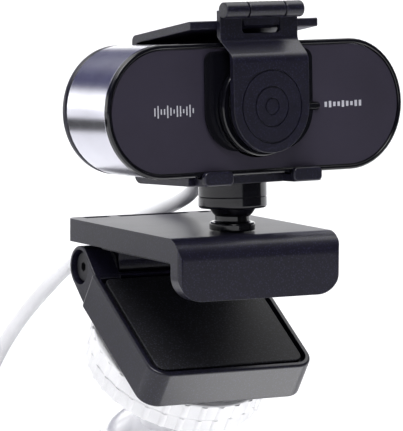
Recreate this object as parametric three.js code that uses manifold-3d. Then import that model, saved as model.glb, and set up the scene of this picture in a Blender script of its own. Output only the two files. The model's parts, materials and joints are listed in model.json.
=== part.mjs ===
// Webcam in a clip mount, standing on a small desktop tripod.
// Units are millimetres and +Z is up. The lens looks along -Y and +X is on the right of someone
// who faces it. The origin is on the table, under the middle of the whole object without its cord.

import * as THREE from 'three';
import { mergeVertices } from 'three/addons/utils/BufferGeometryUtils.js';
import Module from 'manifold-3d';

const wasm = await Module();
wasm.setup();

// ---------------------------------------------------------------- driving dimensions

const gap = 0.3; // air between pieces that touch
const deg = Math.PI / 180;

// Webcam body. Its own frame has the origin at the middle of the front face and +Y to the rear.
const webcam = {
  width: 90, // over the bezel
  height: 33,
  depth: 24.1,
  bezelDepth: 1.6,
  bezelRim: 1.1, // width of the rim round the panel
  panelThickness: 1.3,
  panelRecess: 0.3,
  shellStep: 0.8, // narrower than the bezel
  shellDip: 0.4, // lower than the bezel
  shellNarrowing: 4.1, // from front to rear
  shellLowering: 0.5,
  wall: 1.7,
  rearCoverThickness: 1.8,
  bezelChamfer: 0.4,
  coverChamfer: 0.6,
};

// Black U-shaped plate round the lens
const surround = {
  halfWidth: 16.4,
  top: 14.4,
  bottom: -10.5,
  cornerRadius: 10,
  topCornerRadius: 2.5,
  thickness: 0.5,
};

const lens = {
  centreZ: 0.5,
  housingRadius: 12.4,
  housingFront: 2.3, // how far the housing stands out of the front face
  mouthRadius: 10.8,
  barrelRadius: 7,
  glassRadius: 5,
  flangeStep: 1.6, // the flange behind the panel stands out from the housing, and is as thick
  edge: 0.5,
  glassRim: 1.2, // behind the front face
  glassBack: 2.3,
  glassTop: -0.5,
  stopRadius: 3, // bore behind the glass
  barrelToBoard: 3,
};

const light = { x: 16.6, z: -0.1, width: 4.4, height: 1.4, back: 4.2 };

const board = { width: 58, height: 22, thickness: 1.6, front: 14 };
const boss = { edge: 4, radius: 2.6 }; // from the end of the board to the boss's middle
const boardScrew = { radius: 1.1, headRadius: 2, headHeight: 1.2, length: 5.5 };
const rearScrew = {
  x: 33,
  headRadius: 2.3,
  headDepth: 1.1,
  radius: 1.2,
  length: 9,
  bossWall: 1.6,
  driveRadius: 0.9,
  driveDepth: 0.7,
};
const holder = { half: 9, depth: 9 };
const sensor = { width: 7, height: 6, thickness: 1 };
const microphone = { left: 18, right: 22, bottom: 4, top: 7, thickness: 1.4 };

// C-shaped bracket that grips the body from below, behind and above
const bracket = {
  halfWidth: 19.5,
  thickness: 2.15,
  plateFront: 3,
  wallThickness: 2.3,
  armFront: 1.06,
  armFrontRise: 3.3, // the arm slopes up to the front, this far above the bezel
  armRearRise: 0.35, // above the shell
  armRearThickness: 1.75,
  lowerCorner: 2,
  upperCorner: 1.6,
  hookX: 13.6,
  hookWidth: 8.8,
  hookLip: 1.6,
  hookReach: 0.4, // from the front face to the back of the lip
  hookGrip: 1.3, // how far the lip stands up in front of the bezel
};

// Shutter that flips up off the lens
const shutter = {
  axisY: -2.05,
  axisRise: 2.45, // above the arm's front end
  barrelRadius: 2.05,
  pinRadius: 0.9,
  halfWidthTop: 11.8,
  halfWidth: 11.5,
  thickness: 1.6,
  upperFront: -0.85,
  lensClearance: 1.82, // from the lens housing to the back of the leaf
  bendRise: 0.4, // the fold starts this far above the bezel
  bendHeight: 4,
  knuckleWidth: 11.4,
  knuckleShift: 0.7,
  slotDrop: 1.2, // below the arm's front end
};

// Ball joint under the webcam
const ball = {
  radius: 6.4,
  top: 2.4, // flat top above the ball's centre
  neckRadius: 4.4,
  flangeRadius: 5.75,
  flangeThickness: 2,
  neckLength: 2.1, // from the ball's lowest point to the upper jaw
  back: 14.39, // behind the front of the upper jaw
  shankRadius: 3,
  shankEnd: 1.1, // below the jaw's top wall
  threadRadius: 1.5,
  threadDepth: 4.5,
  linerWall: 0.7,
  linerTop: 3.2,
  linerBottom: -1.5,
  cupWall: 0.9,
  cupBottom: -2.7,
};
const studScrew = { headRadius: 4.4, headHeight: 1.3, radius: 1.2, length: 4.2 };
const webcamSeat = { back: 11.8, drop: 3.81 }; // ball centre behind the front, and below the plate
const webcamYaw = 5.8;
const webcamPitch = 2.5;

// Clip
const upperJaw = {
  width: 46.35,
  depth: 60.2,
  thickness: 5.83,
  topThickness: 2.2,
  wall: 2,
  flapHeight: 15.5,
  flapThickness: 4.4,
  noseRadius: 5.5,
  flapCornerRadius: 6.5,
  frontCornerRadius: 1.2,
  rearCornerRadius: 3,
  studBossRadius: 6.5,
  padThickness: 1.5,
  padInset: 0.5, // the pad's top is this far inside the pocket
};
const hinge = {
  front: 52.5, // behind the front of the upper jaw
  clearance: 0.77, // between the upper jaw's walls and the knuckles
  radius: 5.4,
  pinRadius: 2.2,
  pinHeadRadius: 3.9,
  pinHeadHeight: 2.2,
  pinDriveRadius: 1.3,
  nutRadius: 4,
  nutHeight: 2.4,
  knuckleHalf: 14.5,
  washer: 0.6,
  washerRadius: 4.8,
  recessRadius: 4.5,
  recessDepth: 4,
};
const lowerJaw = {
  width: 47.1,
  rear: 6.5, // from the hinge axis
  front: 46.7,
  top: 3.58, // above the hinge axis, square to the jaw
  thickness: 10.84,
  cornerRadius: 5,
  rim: 1.3,
  groove: 1.2,
  pocketDepth: 2,
  padThickness: 1.5,
  wall: 1.8,
  baseThickness: 1.8,
  floorThickness: 1.8,
  edge: 0.5,
};
const clipAngle = 33.85; // how far the jaws stand open

// Tripod head. The head leans by as much as the clip is open, so that the upper jaw is level.
const headTilt = clipAngle;
const head = {
  ballRadius: 12.5,
  stemRadius: 5,
  height: 38, // ball centre to the underside of the lower jaw
  axisFromHinge: 22.5,
  ringRadius: 24.4,
  ringThickness: 4.7,
  platformRadius: 23.8,
  platformThickness: 4.6,
  platformNeck: 12,
  padRadius: 21,
  padThickness: 1.6,
  padProud: 1.2,
  screwRadius: 3.17, // quarter-inch camera screw
  screwReach: 5.6, // into the lower jaw
  insertRadius: 5,
  insertWall: 2.2,
  lobes: 32,
  lobeDepth: 0.8,
  coneHeight: 3.4,
  stemRim: 1, // the stem's end is this much wider
  stemCollar: 4,
};
const socket = {
  seatWall: 1.5,
  wall: 2.4,
  capTop: 4,
  floorThickness: 5.4, // from the bowl to the top of the hub
  seatHalfAngle: 22,
  knobRadius: 9,
  knobLength: 11,
  knobLobes: 8,
  knobLobeDepth: 1.8,
  knobGrip: 6, // how far the screw goes into the knob
  screwRadius: 2.5,
  bossRadius: 6,
  bossReach: 4.5, // out of the bowl
  knobClearance: 2.5,
};
const stand = {
  ballHeight: 64,
  hubRadius: 16.5,
  hubThickness: 13.5,
  pivotRadius: 11,
  pivotDrop: 7, // below the top of the hub
  footRadius: 78,
  footHeight: 4.2, // where the leg's axis ends above the table
  legWidth: 9,
  legThickness: 6.4,
  tongue: 5,
  tongueHeight: 6.4,
  tongueEnd: 4,
  barStart: 9, // from the pivot
  legEnd: 3, // inside the boot
  pinRadius: 1.5,
  pinLength: 16.4,
  bootRadius: 5.4,
  bootLength: 13,
};

// Cable. It leaves the webcam to the rear, hangs off the clip's back edge and is coiled on the table.
const relief = {
  x: 14.5,
  z: -7,
  neckRadius: 3.2,
  endRadius: 2.6,
  length: 8,
  collarRadius: 4.2,
  collarThickness: 1.6,
};
const cord = {
  radius: 1.9,
  sides: 8,
  stepLength: 5.5,
  // From the strain relief to the coil, in the whole object's frame
  route: [
    [12.02, 0.05, 149.15],
    [11.8, 5.4, 148.5],
    [12.1, 10.2, 146],
    [12.9, 14, 141.2],
    [13.4, 16.4, 135.9],
    [12.9, 18.7, 131.5],
    [10.6, 21.7, 128.7],
    [6.2, 24.9, 126.2],
    [-0.2, 28.2, 122.9],
    [-5, 31.4, 119.2],
    [-9.8, 34, 115.4],
    [-14.3, 36.6, 111.3],
    [-18.7, 40.2, 105.4],
    [-22.2, 43.6, 99.8],
    [-25.4, 46.4, 94],
    [-28.3, 48.8, 87.6],
    [-31.2, 51.6, 78.6],
    [-34, 55, 67],
    [-37, 58.8, 54.6],
    [-40.6, 62.8, 42],
    [-45, 66.6, 29.6],
    [-50.6, 69.8, 19],
    [-57, 71.5, 11.8],
    [-63, 72.1, 8.2],
    [-68.6, 72.3, 7],
  ],
};
const coil = { x: -84, y: 100, inner: 14.4, outer: 29.6, bottom: 1.2, height: 7.6 };
const tie = { width: 8, thickness: 0.9, slack: 0.2 };
const plug = {
  start: 15.6,
  width: 15.6,
  height: 7,
  reliefLength: 8,
  reliefStart: 2.6,
  reliefEnd: 3.2,
  length: 22,
  shellWidth: 12,
  shellHeight: 4.5,
  shellLength: 12,
  shellWall: 0.5,
  slotY: 2.6,
  slotWidth: 2.2,
  slotStart: 5.5,
};

// ---------------------------------------------------------------- solid helpers

// A closed geometry as a manifold-3d solid
function solid(geometry) {
  const bare = new THREE.BufferGeometry();
  bare.setAttribute('position', geometry.attributes.position.clone());
  if (geometry.index) bare.setIndex(geometry.index.clone());
  const merged = mergeVertices(bare, 1e-4);
  const index = merged.index.array;
  const triangles = [];
  for (let i = 0; i < index.length; i += 3) {
    const [a, b, c] = [index[i], index[i + 1], index[i + 2]];
    if (a !== b && b !== c && c !== a) triangles.push(a, b, c);
  }
  const vertProperties = new Float32Array(merged.attributes.position.array);
  const triVerts = new Uint32Array(triangles);
  return new wasm.Manifold(new wasm.Mesh({ numProp: 3, vertProperties, triVerts }));
}

function geometryOf(manifold) {
  const mesh = manifold.getMesh();
  const positions = new Float32Array(mesh.vertProperties);
  const geometry = new THREE.BufferGeometry();
  geometry.setAttribute('position', new THREE.BufferAttribute(positions, 3));
  geometry.setIndex(new THREE.BufferAttribute(new Uint32Array(mesh.triVerts), 1));
  return geometry;
}

function join(first, ...others) {
  return geometryOf(others.reduce((sum, g) => sum.add(solid(g)), solid(first)));
}

function cut(first, ...others) {
  return geometryOf(others.reduce((rest, g) => rest.subtract(solid(g)), solid(first)));
}

function common(first, ...others) {
  return geometryOf(others.reduce((rest, g) => rest.intersect(solid(g)), solid(first)));
}

// ---------------------------------------------------------------- shape helpers

const alongZ = new THREE.Matrix4();
const alongX = new THREE.Matrix4().makeRotationY(90 * deg);
const alongY = new THREE.Matrix4().makeRotationX(-90 * deg);
// Outlines drawn as (x, z) and pushed to the rear, and drawn as (y, z) and pushed along +X
const frontView = new THREE.Matrix4().makeRotationX(90 * deg);
const sideView = new THREE.Matrix4().makeBasis(
  new THREE.Vector3(0, 1, 0),
  new THREE.Vector3(0, 0, 1),
  new THREE.Vector3(1, 0, 0),
);

function moved(geometry, x, y, z) {
  return geometry.clone().translate(x, y, z);
}

function box(low, high) {
  const [w, d, h] = high.map((v, i) => v - low[i]);
  const geometry = new THREE.BoxGeometry(w, d, h);
  return geometry.translate(low[0] + w / 2, low[1] + d / 2, low[2] + h / 2);
}

// A rod from start, of the given length, along Z, X or Y
function rod(radius, start, length, along = alongZ, sides = 16) {
  const geometry = new THREE.CylinderGeometry(radius, radius, length, sides);
  geometry.rotateX(90 * deg).translate(0, 0, length / 2).applyMatrix4(along);
  return geometry.translate(...start);
}

// A turned piece from (radius, height) pairs, about Z, X or Y
function turned(profile, along = alongZ, sides = 24) {
  const points = profile.map(([r, h]) => new THREE.Vector2(r, h));
  const area = points.reduce((sum, p, i) => {
    const q = points[(i + 1) % points.length];
    return sum + p.x * q.y - q.x * p.y;
  }, 0);
  if (area < 0) points.reverse();
  if (points.every((p) => p.x > 0)) points.push(points[0].clone());
  return new THREE.LatheGeometry(points, sides).rotateX(90 * deg).applyMatrix4(along);
}

// Points on an arc, for turned profiles
function arc(radius, from, to, steps, centreR = 0, centreH = 0) {
  return Array.from({ length: steps + 1 }, (_, i) => {
    const angle = (from + ((to - from) * i) / steps) * deg;
    return [centreR + radius * Math.cos(angle), centreH + radius * Math.sin(angle)];
  });
}

function outline(points) {
  return new THREE.Shape(points.map(([x, y]) => new THREE.Vector2(x, y)));
}

function roundedRect(left, bottom, right, top, radii) {
  const [bl, br, tr, tl] = radii;
  const shape = new THREE.Shape();
  shape.moveTo(left + bl, bottom);
  shape.lineTo(right - br, bottom);
  if (br) shape.absarc(right - br, bottom + br, br, -90 * deg, 0);
  shape.lineTo(right, top - tr);
  if (tr) shape.absarc(right - tr, top - tr, tr, 0, 90 * deg);
  shape.lineTo(left + tl, top);
  if (tl) shape.absarc(left + tl, top - tl, tl, 90 * deg, 180 * deg);
  shape.lineTo(left, bottom + bl);
  if (bl) shape.absarc(left + bl, bottom + bl, bl, 180 * deg, 270 * deg);
  return shape;
}

function stadium(width, height) {
  const r = height / 2;
  return roundedRect(-width / 2, -r, width / 2, r, [r, r, r, r]);
}

function extruded(shape, depth, { bevel = 0, steps = 6 } = {}) {
  const geometry = new THREE.ExtrudeGeometry(shape, {
    depth: depth - 2 * bevel,
    curveSegments: steps,
    bevelEnabled: bevel > 0,
    bevelThickness: bevel,
    bevelSize: bevel,
    bevelOffset: -bevel,
    bevelSegments: 1,
  });
  return geometry.translate(0, 0, bevel);
}

// An outline drawn as (x, z), from one y to another further back
function frontSlab(shape, fromY, toY, options) {
  return extruded(shape, toY - fromY, options).applyMatrix4(frontView).translate(0, toY, 0);
}

// An outline drawn as (y, z), from one x to another
function sideSlab(shape, fromX, toX, options) {
  return extruded(shape, toX - fromX, options).applyMatrix4(sideView).translate(fromX, 0, 0);
}

// A round outline with lobes for the fingers
function lobed(radius, depth, lobes, pointsPerLobe = 3) {
  const count = lobes * pointsPerLobe;
  return outline(
    Array.from({ length: count }, (_, i) => {
      const angle = (i / count) * 2 * Math.PI;
      const r = radius - depth * (0.5 - 0.5 * Math.cos(lobes * angle)) ** 2;
      return [r * Math.cos(angle), r * Math.sin(angle)];
    }),
  );
}

// ---------------------------------------------------------------- looks

const looks = {
  blackPlastic: [0x17171c, 0.55, 0],
  glossBlack: [0x0c0c10, 0.2, 0],
  shellMetal: [0x23232c, 0.32, 0.7],
  panel: [0x2a2733, 0.5, 0],
  glass: [0x1b2230, 0.05, 0],
  rubber: [0x141416, 0.9, 0],
  steel: [0xb4b6ba, 0.35, 1],
  brass: [0xb99a4f, 0.35, 1],
  paleGrey: [0xd7d8dc, 0.45, 0],
  paleMetal: [0xe6e7ea, 0.22, 0.6],
  paleRubber: [0xb6b7bb, 0.8, 0],
  boardGreen: [0x1d4a33, 0.5, 0],
  clear: [0xdfe4ea, 0.2, 0],
};

function piece(group, name, geometry, look) {
  const [color, roughness, metalness] = looks[look];
  const material = new THREE.MeshStandardMaterial({ color, roughness, metalness });
  const mesh = new THREE.Mesh(geometry, material);
  mesh.name = name;
  group.add(mesh);
  return mesh;
}

function subgroup(parent, position = [0, 0, 0], rotation = [0, 0, 0]) {
  const group = new THREE.Group();
  group.position.set(...position);
  group.rotation.set(...rotation.map((angle) => angle * deg));
  parent.add(group);
  return group;
}

// ---------------------------------------------------------------- webcam body

const shellFront = webcam.bezelDepth + gap;
const shellRear = webcam.depth - webcam.rearCoverThickness - gap;
const panelWidth = webcam.width - 2 * (webcam.bezelRim + gap);
const panelHeight = webcam.height - 2 * (webcam.bezelRim + gap);
const bossFront = board.front + board.thickness + gap;
const bossX = board.width / 2 - boss.edge;
const shellWidth = webcam.width - webcam.shellStep;
const shellHeight = webcam.height - webcam.shellDip;
const coverWidth = shellWidth - webcam.shellNarrowing;
const coverHeight = shellHeight - webcam.shellLowering;
const flangeRadius = lens.housingRadius + lens.flangeStep;

// A stadium slab whose outline shrinks evenly from front to rear
function taperedStadium(inset, fromY, toY) {
  const shape = stadium(shellWidth - 2 * inset, shellHeight - 2 * inset);
  const geometry = frontSlab(shape, fromY, toY);
  const position = geometry.attributes.position;
  const shrinkX = webcam.shellNarrowing / shellWidth;
  const shrinkZ = webcam.shellLowering / shellHeight;
  for (let i = 0; i < position.count; i += 1) {
    const share = (position.getY(i) - shellFront) / (shellRear - shellFront);
    position.setX(i, position.getX(i) * (1 - shrinkX * share));
    position.setZ(i, position.getZ(i) * (1 - shrinkZ * share));
  }
  return geometry;
}

function lensHole(radius) {
  return rod(radius, [0, -10, lens.centreZ], 40, alongY, 24);
}

function lightHole(clearance) {
  const shape = stadium(light.width + 2 * clearance, light.height + 2 * clearance);
  return moved(frontSlab(shape, -2, 4, { steps: 4 }), light.x, 0, light.z);
}

function buildWebcam(group) {
  const outer = stadium(webcam.width, webcam.height);
  const inner = stadium(webcam.width - 2 * webcam.bezelRim, webcam.height - 2 * webcam.bezelRim);
  const rim = frontSlab(outer, 0, webcam.bezelDepth, { bevel: webcam.bezelChamfer });
  piece(group, 'front_bezel', cut(rim, frontSlab(inner, -1, webcam.depth)), 'glossBlack');

  const panelFront = webcam.panelRecess;
  const panelBack = panelFront + webcam.panelThickness;
  const panel = frontSlab(stadium(panelWidth, panelHeight), panelFront, panelBack);
  const holes = [lensHole(lens.housingRadius + gap), lightHole(gap)];
  piece(group, 'front_panel', cut(panel, ...holes), 'panel');

  const { halfWidth, top, bottom, cornerRadius, topCornerRadius, thickness } = surround;
  const corners = [cornerRadius, cornerRadius, topCornerRadius, topCornerRadius];
  const plate = roundedRect(-halfWidth, bottom, halfWidth, top, corners);
  const surroundBack = panelFront - gap;
  const surroundPlate = frontSlab(plate, surroundBack - thickness, surroundBack, { steps: 6 });
  piece(group, 'lens_surround', cut(surroundPlate, ...holes), 'glossBlack');

  const shell = cut(
    taperedStadium(0, shellFront, shellRear),
    taperedStadium(webcam.wall, shellFront - 1, shellRear + 1),
  );
  piece(group, 'body_shell', shell, 'shellMetal');

  buildRearCover(group);
  buildLens(group, panelBack);
  buildBoard(group);
}

function buildRearCover(group) {
  const from = shellRear + gap;
  const screwFront = webcam.depth - rearScrew.length;
  const headFront = webcam.depth - rearScrew.headDepth;
  const shape = stadium(coverWidth, coverHeight);
  const plate = frontSlab(shape, from, webcam.depth, { bevel: webcam.coverChamfer });
  const bosses = [];
  const holes = [rod(relief.neckRadius + gap, [relief.x, from - 4, relief.z], 12, alongY)];
  [-1, 1].forEach((side) => {
    const x = side * bossX;
    bosses.push(rod(boss.radius, [x, bossFront, 0], from + 1 - bossFront, alongY, 14));
    holes.push(rod(boardScrew.radius + gap, [x, bossFront - 1, 0], 5, alongY, 12));
  });
  [-1, 1].forEach((side) => {
    const x = side * rearScrew.x;
    const wall = rearScrew.radius + rearScrew.bossWall;
    bosses.push(rod(wall, [x, screwFront - 1, 0], rearScrew.length, alongY));
    holes.push(rod(rearScrew.radius + gap, [x, screwFront - gap, 0], 12, alongY, 12));
    holes.push(rod(rearScrew.headRadius + gap, [x, headFront - gap, 0], 5, alongY));
    const screw = join(
      rod(rearScrew.headRadius, [x, headFront, 0], rearScrew.headDepth, alongY),
      rod(rearScrew.radius, [x, screwFront, 0], rearScrew.length - 0.5, alongY, 12),
    );
    const driveFront = webcam.depth - rearScrew.driveDepth;
    const drive = rod(rearScrew.driveRadius, [x, driveFront, 0], 2, alongY, 6);
    piece(group, side < 0 ? 'rear_screw_left' : 'rear_screw_right', cut(screw, drive), 'steel');
  });
  piece(group, 'rear_cover', cut(join(plate, ...bosses), ...holes), 'blackPlastic');
}

function buildLens(group, panelBack) {
  const { housingRadius, housingFront, mouthRadius, barrelRadius, glassRadius, centreZ, edge } = lens;
  const flangeFront = panelBack + gap;
  const flangeBack = flangeFront + lens.flangeStep;
  const bore = barrelRadius + gap;
  const housing = turned(
    [
      [bore, 0.6],
      [bore, flangeBack],
      [flangeRadius, flangeBack],
      [flangeRadius, flangeFront],
      [housingRadius, flangeFront],
      [housingRadius, -housingFront + edge],
      [housingRadius - edge, -housingFront],
      [mouthRadius, -housingFront],
    ],
    alongY,
    24,
  );
  piece(group, 'lens_housing', moved(housing, 0, 0, centreZ), 'glossBlack');

  const barrelBack = board.front - lens.barrelToBoard;
  const barrel = turned(
    [
      [glassRadius + gap, -0.4],
      [glassRadius + gap, lens.glassBack + gap],
      [lens.stopRadius, lens.glassBack + gap + 1],
      [lens.stopRadius, barrelBack],
      [barrelRadius, barrelBack],
      [barrelRadius, 0],
      [barrelRadius - 0.4, -0.4],
    ],
    alongY,
  );
  piece(group, 'lens_barrel', moved(barrel, 0, 0, centreZ), 'blackPlastic');

  const glass = turned(
    [
      [0, lens.glassBack],
      [glassRadius, lens.glassBack],
      [glassRadius, lens.glassRim],
      ...domeProfile(glassRadius, lens.glassRim, lens.glassTop),
    ],
    alongY,
    24,
  );
  piece(group, 'front_lens', moved(glass, 0, 0, centreZ), 'glass');
}

// Points of a shallow dome from its rim to its top on the axis
function domeProfile(radius, rim, top) {
  const rise = rim - top;
  return Array.from({ length: 3 }, (_, i) => {
    const share = (i + 1) / 3;
    return [radius * (1 - share), rim - rise * (1 - (1 - share) ** 2)];
  });
}

function buildBoard(group) {
  const half = board.width / 2;
  const back = board.front + board.thickness;
  const plate = frontSlab(
    roundedRect(-half, -board.height / 2, half, board.height / 2, [2, 2, 2, 2]),
    board.front,
    back,
    { steps: 3 },
  );
  const screwHoles = [-1, 1].map((side) =>
    rod(boardScrew.radius + gap, [side * bossX, board.front - 1, 0], 4, alongY, 16),
  );
  piece(group, 'circuit_board', cut(plate, ...screwHoles), 'boardGreen');
  [-1, 1].forEach((side) => {
    const x = side * bossX;
    const headFront = board.front - gap - boardScrew.headHeight;
    const screw = join(
      rod(boardScrew.headRadius, [x, headFront, 0], boardScrew.headHeight, alongY, 20),
      rod(boardScrew.radius, [x, headFront + 0.7, 0], boardScrew.length - 0.5, alongY, 12),
    );
    piece(group, side < 0 ? 'board_screw_left' : 'board_screw_right', screw, 'steel');
  });

  const holderBack = board.front - gap;
  const holderFront = board.front - holder.depth;
  const { half: side } = holder;
  const block = cut(
    box([-side, holderFront, lens.centreZ - side], [side, holderBack, lens.centreZ + side]),
    rod(lens.barrelRadius + gap, [0, 0, lens.centreZ], 20, alongY),
  );
  piece(group, 'lens_holder', block, 'blackPlastic');
  const [sensorX, sensorZ] = [sensor.width / 2, sensor.height / 2];
  const chip = box(
    [-sensorX, holderBack - sensor.thickness, lens.centreZ - sensorZ],
    [sensorX, holderBack, lens.centreZ + sensorZ],
  );
  piece(group, 'image_sensor', chip, 'glossBlack');
  const capsule = box(
    [microphone.left, holderBack - microphone.thickness, microphone.bottom],
    [microphone.right, holderBack, microphone.top],
  );
  piece(group, 'microphone', capsule, 'steel');

  const pipe = stadium(light.width, light.height);
  const pipeFront = -surround.thickness;
  const lamp = moved(frontSlab(pipe, pipeFront, light.back, { steps: 4 }), light.x, 0, light.z);
  piece(group, 'indicator_light', lamp, 'glossBlack');
}

// ---------------------------------------------------------------- bracket, cup and shutter

const plateTop = -shellHeight / 2 - gap;
const plateBottom = plateTop - bracket.thickness;
const wallFront = webcam.depth + gap;
const wallBack = wallFront + bracket.wallThickness;
const armFrontBottom = webcam.height / 2 + bracket.armFrontRise;
const armFrontTop = armFrontBottom + bracket.thickness;
const armRearBottom = coverHeight / 2 + bracket.armRearRise;
const shutterAxisZ = armFrontTop + shutter.axisRise;
const seatDrop = webcamSeat.drop - plateBottom;
const seatCentre = [0, webcamSeat.back, -seatDrop];
const linerOuter = ball.radius + gap + ball.linerWall;
const cupRadius = linerOuter + gap + ball.cupWall;
const knuckleLow = shutter.knuckleShift - shutter.knuckleWidth / 2;
const knuckleHigh = shutter.knuckleShift + shutter.knuckleWidth / 2;

function buildBracket(group) {
  const profile = outline([
    [bracket.plateFront, plateBottom],
    [wallBack - bracket.lowerCorner, plateBottom],
    [wallBack, plateBottom + bracket.lowerCorner],
    [wallBack, armRearBottom],
    [wallBack - bracket.upperCorner, armRearBottom + bracket.armRearThickness],
    [bracket.armFront, armFrontTop],
    [bracket.armFront, armFrontBottom],
    [wallFront, armRearBottom],
    [wallFront, plateTop],
    [bracket.plateFront, plateTop],
  ]);
  const strip = sideSlab(profile, -bracket.halfWidth, bracket.halfWidth);

  const lipFront = -bracket.hookReach - bracket.hookLip;
  const hookTop = -webcam.height / 2 - gap;
  const hooks = [-1, 1].flatMap((side) => {
    const low = side * bracket.hookX - bracket.hookWidth / 2;
    const high = low + bracket.hookWidth;
    const lipTop = -webcam.height / 2 + bracket.hookGrip;
    return [
      box([low, lipFront, plateBottom], [high, bracket.plateFront + 1, hookTop]),
      box([low, lipFront, plateBottom], [high, -bracket.hookReach, lipTop]),
    ];
  });

  const { cupBottom } = ball;
  const cupTop = plateTop + seatDrop - 0.5;
  const cup = turned([
    [0, cupTop],
    [cupRadius, cupTop],
    [cupRadius, cupBottom + 0.9],
    [cupRadius - 0.3, cupBottom + 0.3],
    [cupRadius - 0.8, cupBottom],
    [0, cupBottom],
  ]);
  const cavity = turned(arc(linerOuter + gap, -90, 90, 12));

  // Tongue and middle knuckle of the shutter hinge
  const slope = (armFrontBottom - armRearBottom) / (wallFront - bracket.armFront);
  const tipY = shutter.axisY + 1;
  const tongue = outline([
    [tipY, armFrontBottom + 0.8],
    [bracket.armFront + 1, armFrontBottom - slope],
    [bracket.armFront + 1, armFrontTop - slope],
    [bracket.armFront, armFrontTop],
    [tipY, shutterAxisZ - 1],
  ]);
  const knuckleStart = [knuckleLow + gap, shutter.axisY, shutterAxisZ];
  const knuckle = [
    sideSlab(tongue, knuckleLow + gap, knuckleHigh - gap),
    rod(shutter.barrelRadius, knuckleStart, shutter.knuckleWidth - 2 * gap, alongX, 20),
  ];
  const pinHole = shutterPinHole();
  const cordWay = wallBack - wallFront + 2;
  const cordHole = rod(relief.collarRadius + gap, [relief.x, wallFront - 1, relief.z], cordWay, alongY);
  const whole = join(strip, ...hooks, moved(cup, ...seatCentre), ...knuckle);
  piece(group, 'cradle_bracket', cut(whole, moved(cavity, ...seatCentre), pinHole, cordHole), 'blackPlastic');
}

function shutterPinHole() {
  const half = shutter.halfWidthTop + 8;
  return rod(shutter.pinRadius + gap, [-half, shutter.axisY, shutterAxisZ], 2 * half, alongX, 16);
}

function buildShutter(group) {
  const { upperFront, thickness, axisY, halfWidth, halfWidthTop } = shutter;
  const lowerFront = -lens.housingFront - shutter.lensClearance - thickness;
  const bendTop = webcam.height / 2 + shutter.bendRise;
  const bendBottom = bendTop - shutter.bendHeight;
  const bottom = lens.centreZ - halfWidth;
  const profile = outline([
    [lowerFront, bottom],
    [lowerFront + thickness, bottom],
    [lowerFront + thickness, bendBottom + 0.8],
    [upperFront + thickness, bendTop + 1],
    [upperFront + thickness, shutterAxisZ],
    [upperFront, shutterAxisZ],
    [upperFront, bendTop],
    [lowerFront, bendBottom],
  ]);
  const sheet = sideSlab(profile, -halfWidthTop, halfWidthTop);
  const face = new THREE.Shape();
  face.absarc(0, lens.centreZ, halfWidth, 180 * deg, 360 * deg);
  face.lineTo(halfWidth, bendBottom);
  face.lineTo(halfWidthTop, bendTop);
  face.lineTo(halfWidthTop, shutterAxisZ + 1);
  face.lineTo(-halfWidthTop, shutterAxisZ + 1);
  face.lineTo(-halfWidthTop, bendTop);
  face.lineTo(-halfWidth, bendBottom);
  const leaf = common(sheet, frontSlab(face, lowerFront - 1, 4, { steps: 12 }));
  const barrel = rod(
    shutter.barrelRadius,
    [-halfWidthTop, axisY, shutterAxisZ],
    2 * halfWidthTop,
    alongX,
    20,
  );
  const slotBottom = armFrontBottom - shutter.slotDrop;
  const slot = box([knuckleLow, -12, slotBottom], [knuckleHigh, 6, shutterAxisZ + 6]);
  piece(group, 'privacy_cover', cut(join(leaf, barrel), slot, shutterPinHole()), 'blackPlastic');
  const pinHalf = halfWidthTop - gap;
  const pin = rod(shutter.pinRadius, [-pinHalf, axisY, shutterAxisZ], 2 * pinHalf, alongX, 16);
  piece(group, 'cover_pin', pin, 'steel');
}

// ---------------------------------------------------------------- ball joint on the clip

const ballHeight = ball.radius + ball.neckLength; // above the upper jaw

function buildBallJoint(stud) {
  const { radius, top, neckRadius, shankRadius, threadRadius } = ball;
  const flangeBottom = gap - ballHeight;
  const flangeTop = flangeBottom + ball.flangeThickness;
  const topAngle = Math.asin(top / radius) / deg;
  const neckAngle = -Math.acos(neckRadius / radius) / deg;
  const shankEnd = -ballHeight - upperJaw.topThickness - ball.shankEnd;
  const threadEnd = shankEnd + ball.threadDepth;
  const studProfile = [
    [0, top],
    ...arc(radius, topAngle, neckAngle, 6),
    [neckRadius, flangeTop],
    [ball.flangeRadius - 0.4, flangeTop],
    [ball.flangeRadius, flangeTop - 0.4],
    [ball.flangeRadius, flangeBottom],
    [shankRadius, flangeBottom],
    [shankRadius, shankEnd],
    [threadRadius, shankEnd],
    [threadRadius, threadEnd],
    [0, threadEnd],
  ];
  piece(stud, 'ball_stud', turned(studProfile), 'glossBlack');
  const headTop = shankEnd - gap;
  const headBottom = headTop - studScrew.headHeight;
  const screw = turned(
    [
      [0, headBottom],
      [studScrew.headRadius, headBottom],
      [studScrew.headRadius, headTop],
      [studScrew.radius, headTop],
      [studScrew.radius, headTop + studScrew.length],
      [0, headTop + studScrew.length],
    ],
    alongZ,
    20,
  );
  piece(stud, 'stud_screw', screw, 'steel');
}

function buildLiner(group) {
  const inner = ball.radius + gap;
  const angles = (r) => [Math.asin(ball.linerBottom / r) / deg, Math.asin(ball.linerTop / r) / deg];
  const [innerLow, innerHigh] = angles(inner);
  const [outerLow, outerHigh] = angles(linerOuter);
  const profile = [...arc(linerOuter, outerLow, outerHigh, 3), ...arc(inner, innerHigh, innerLow, 3)];
  piece(group, 'socket_liner', turned(profile), 'blackPlastic');
}

// ---------------------------------------------------------------- clip, upper jaw

const hingeDrop = upperJaw.thickness + hinge.clearance + hinge.radius;

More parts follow.
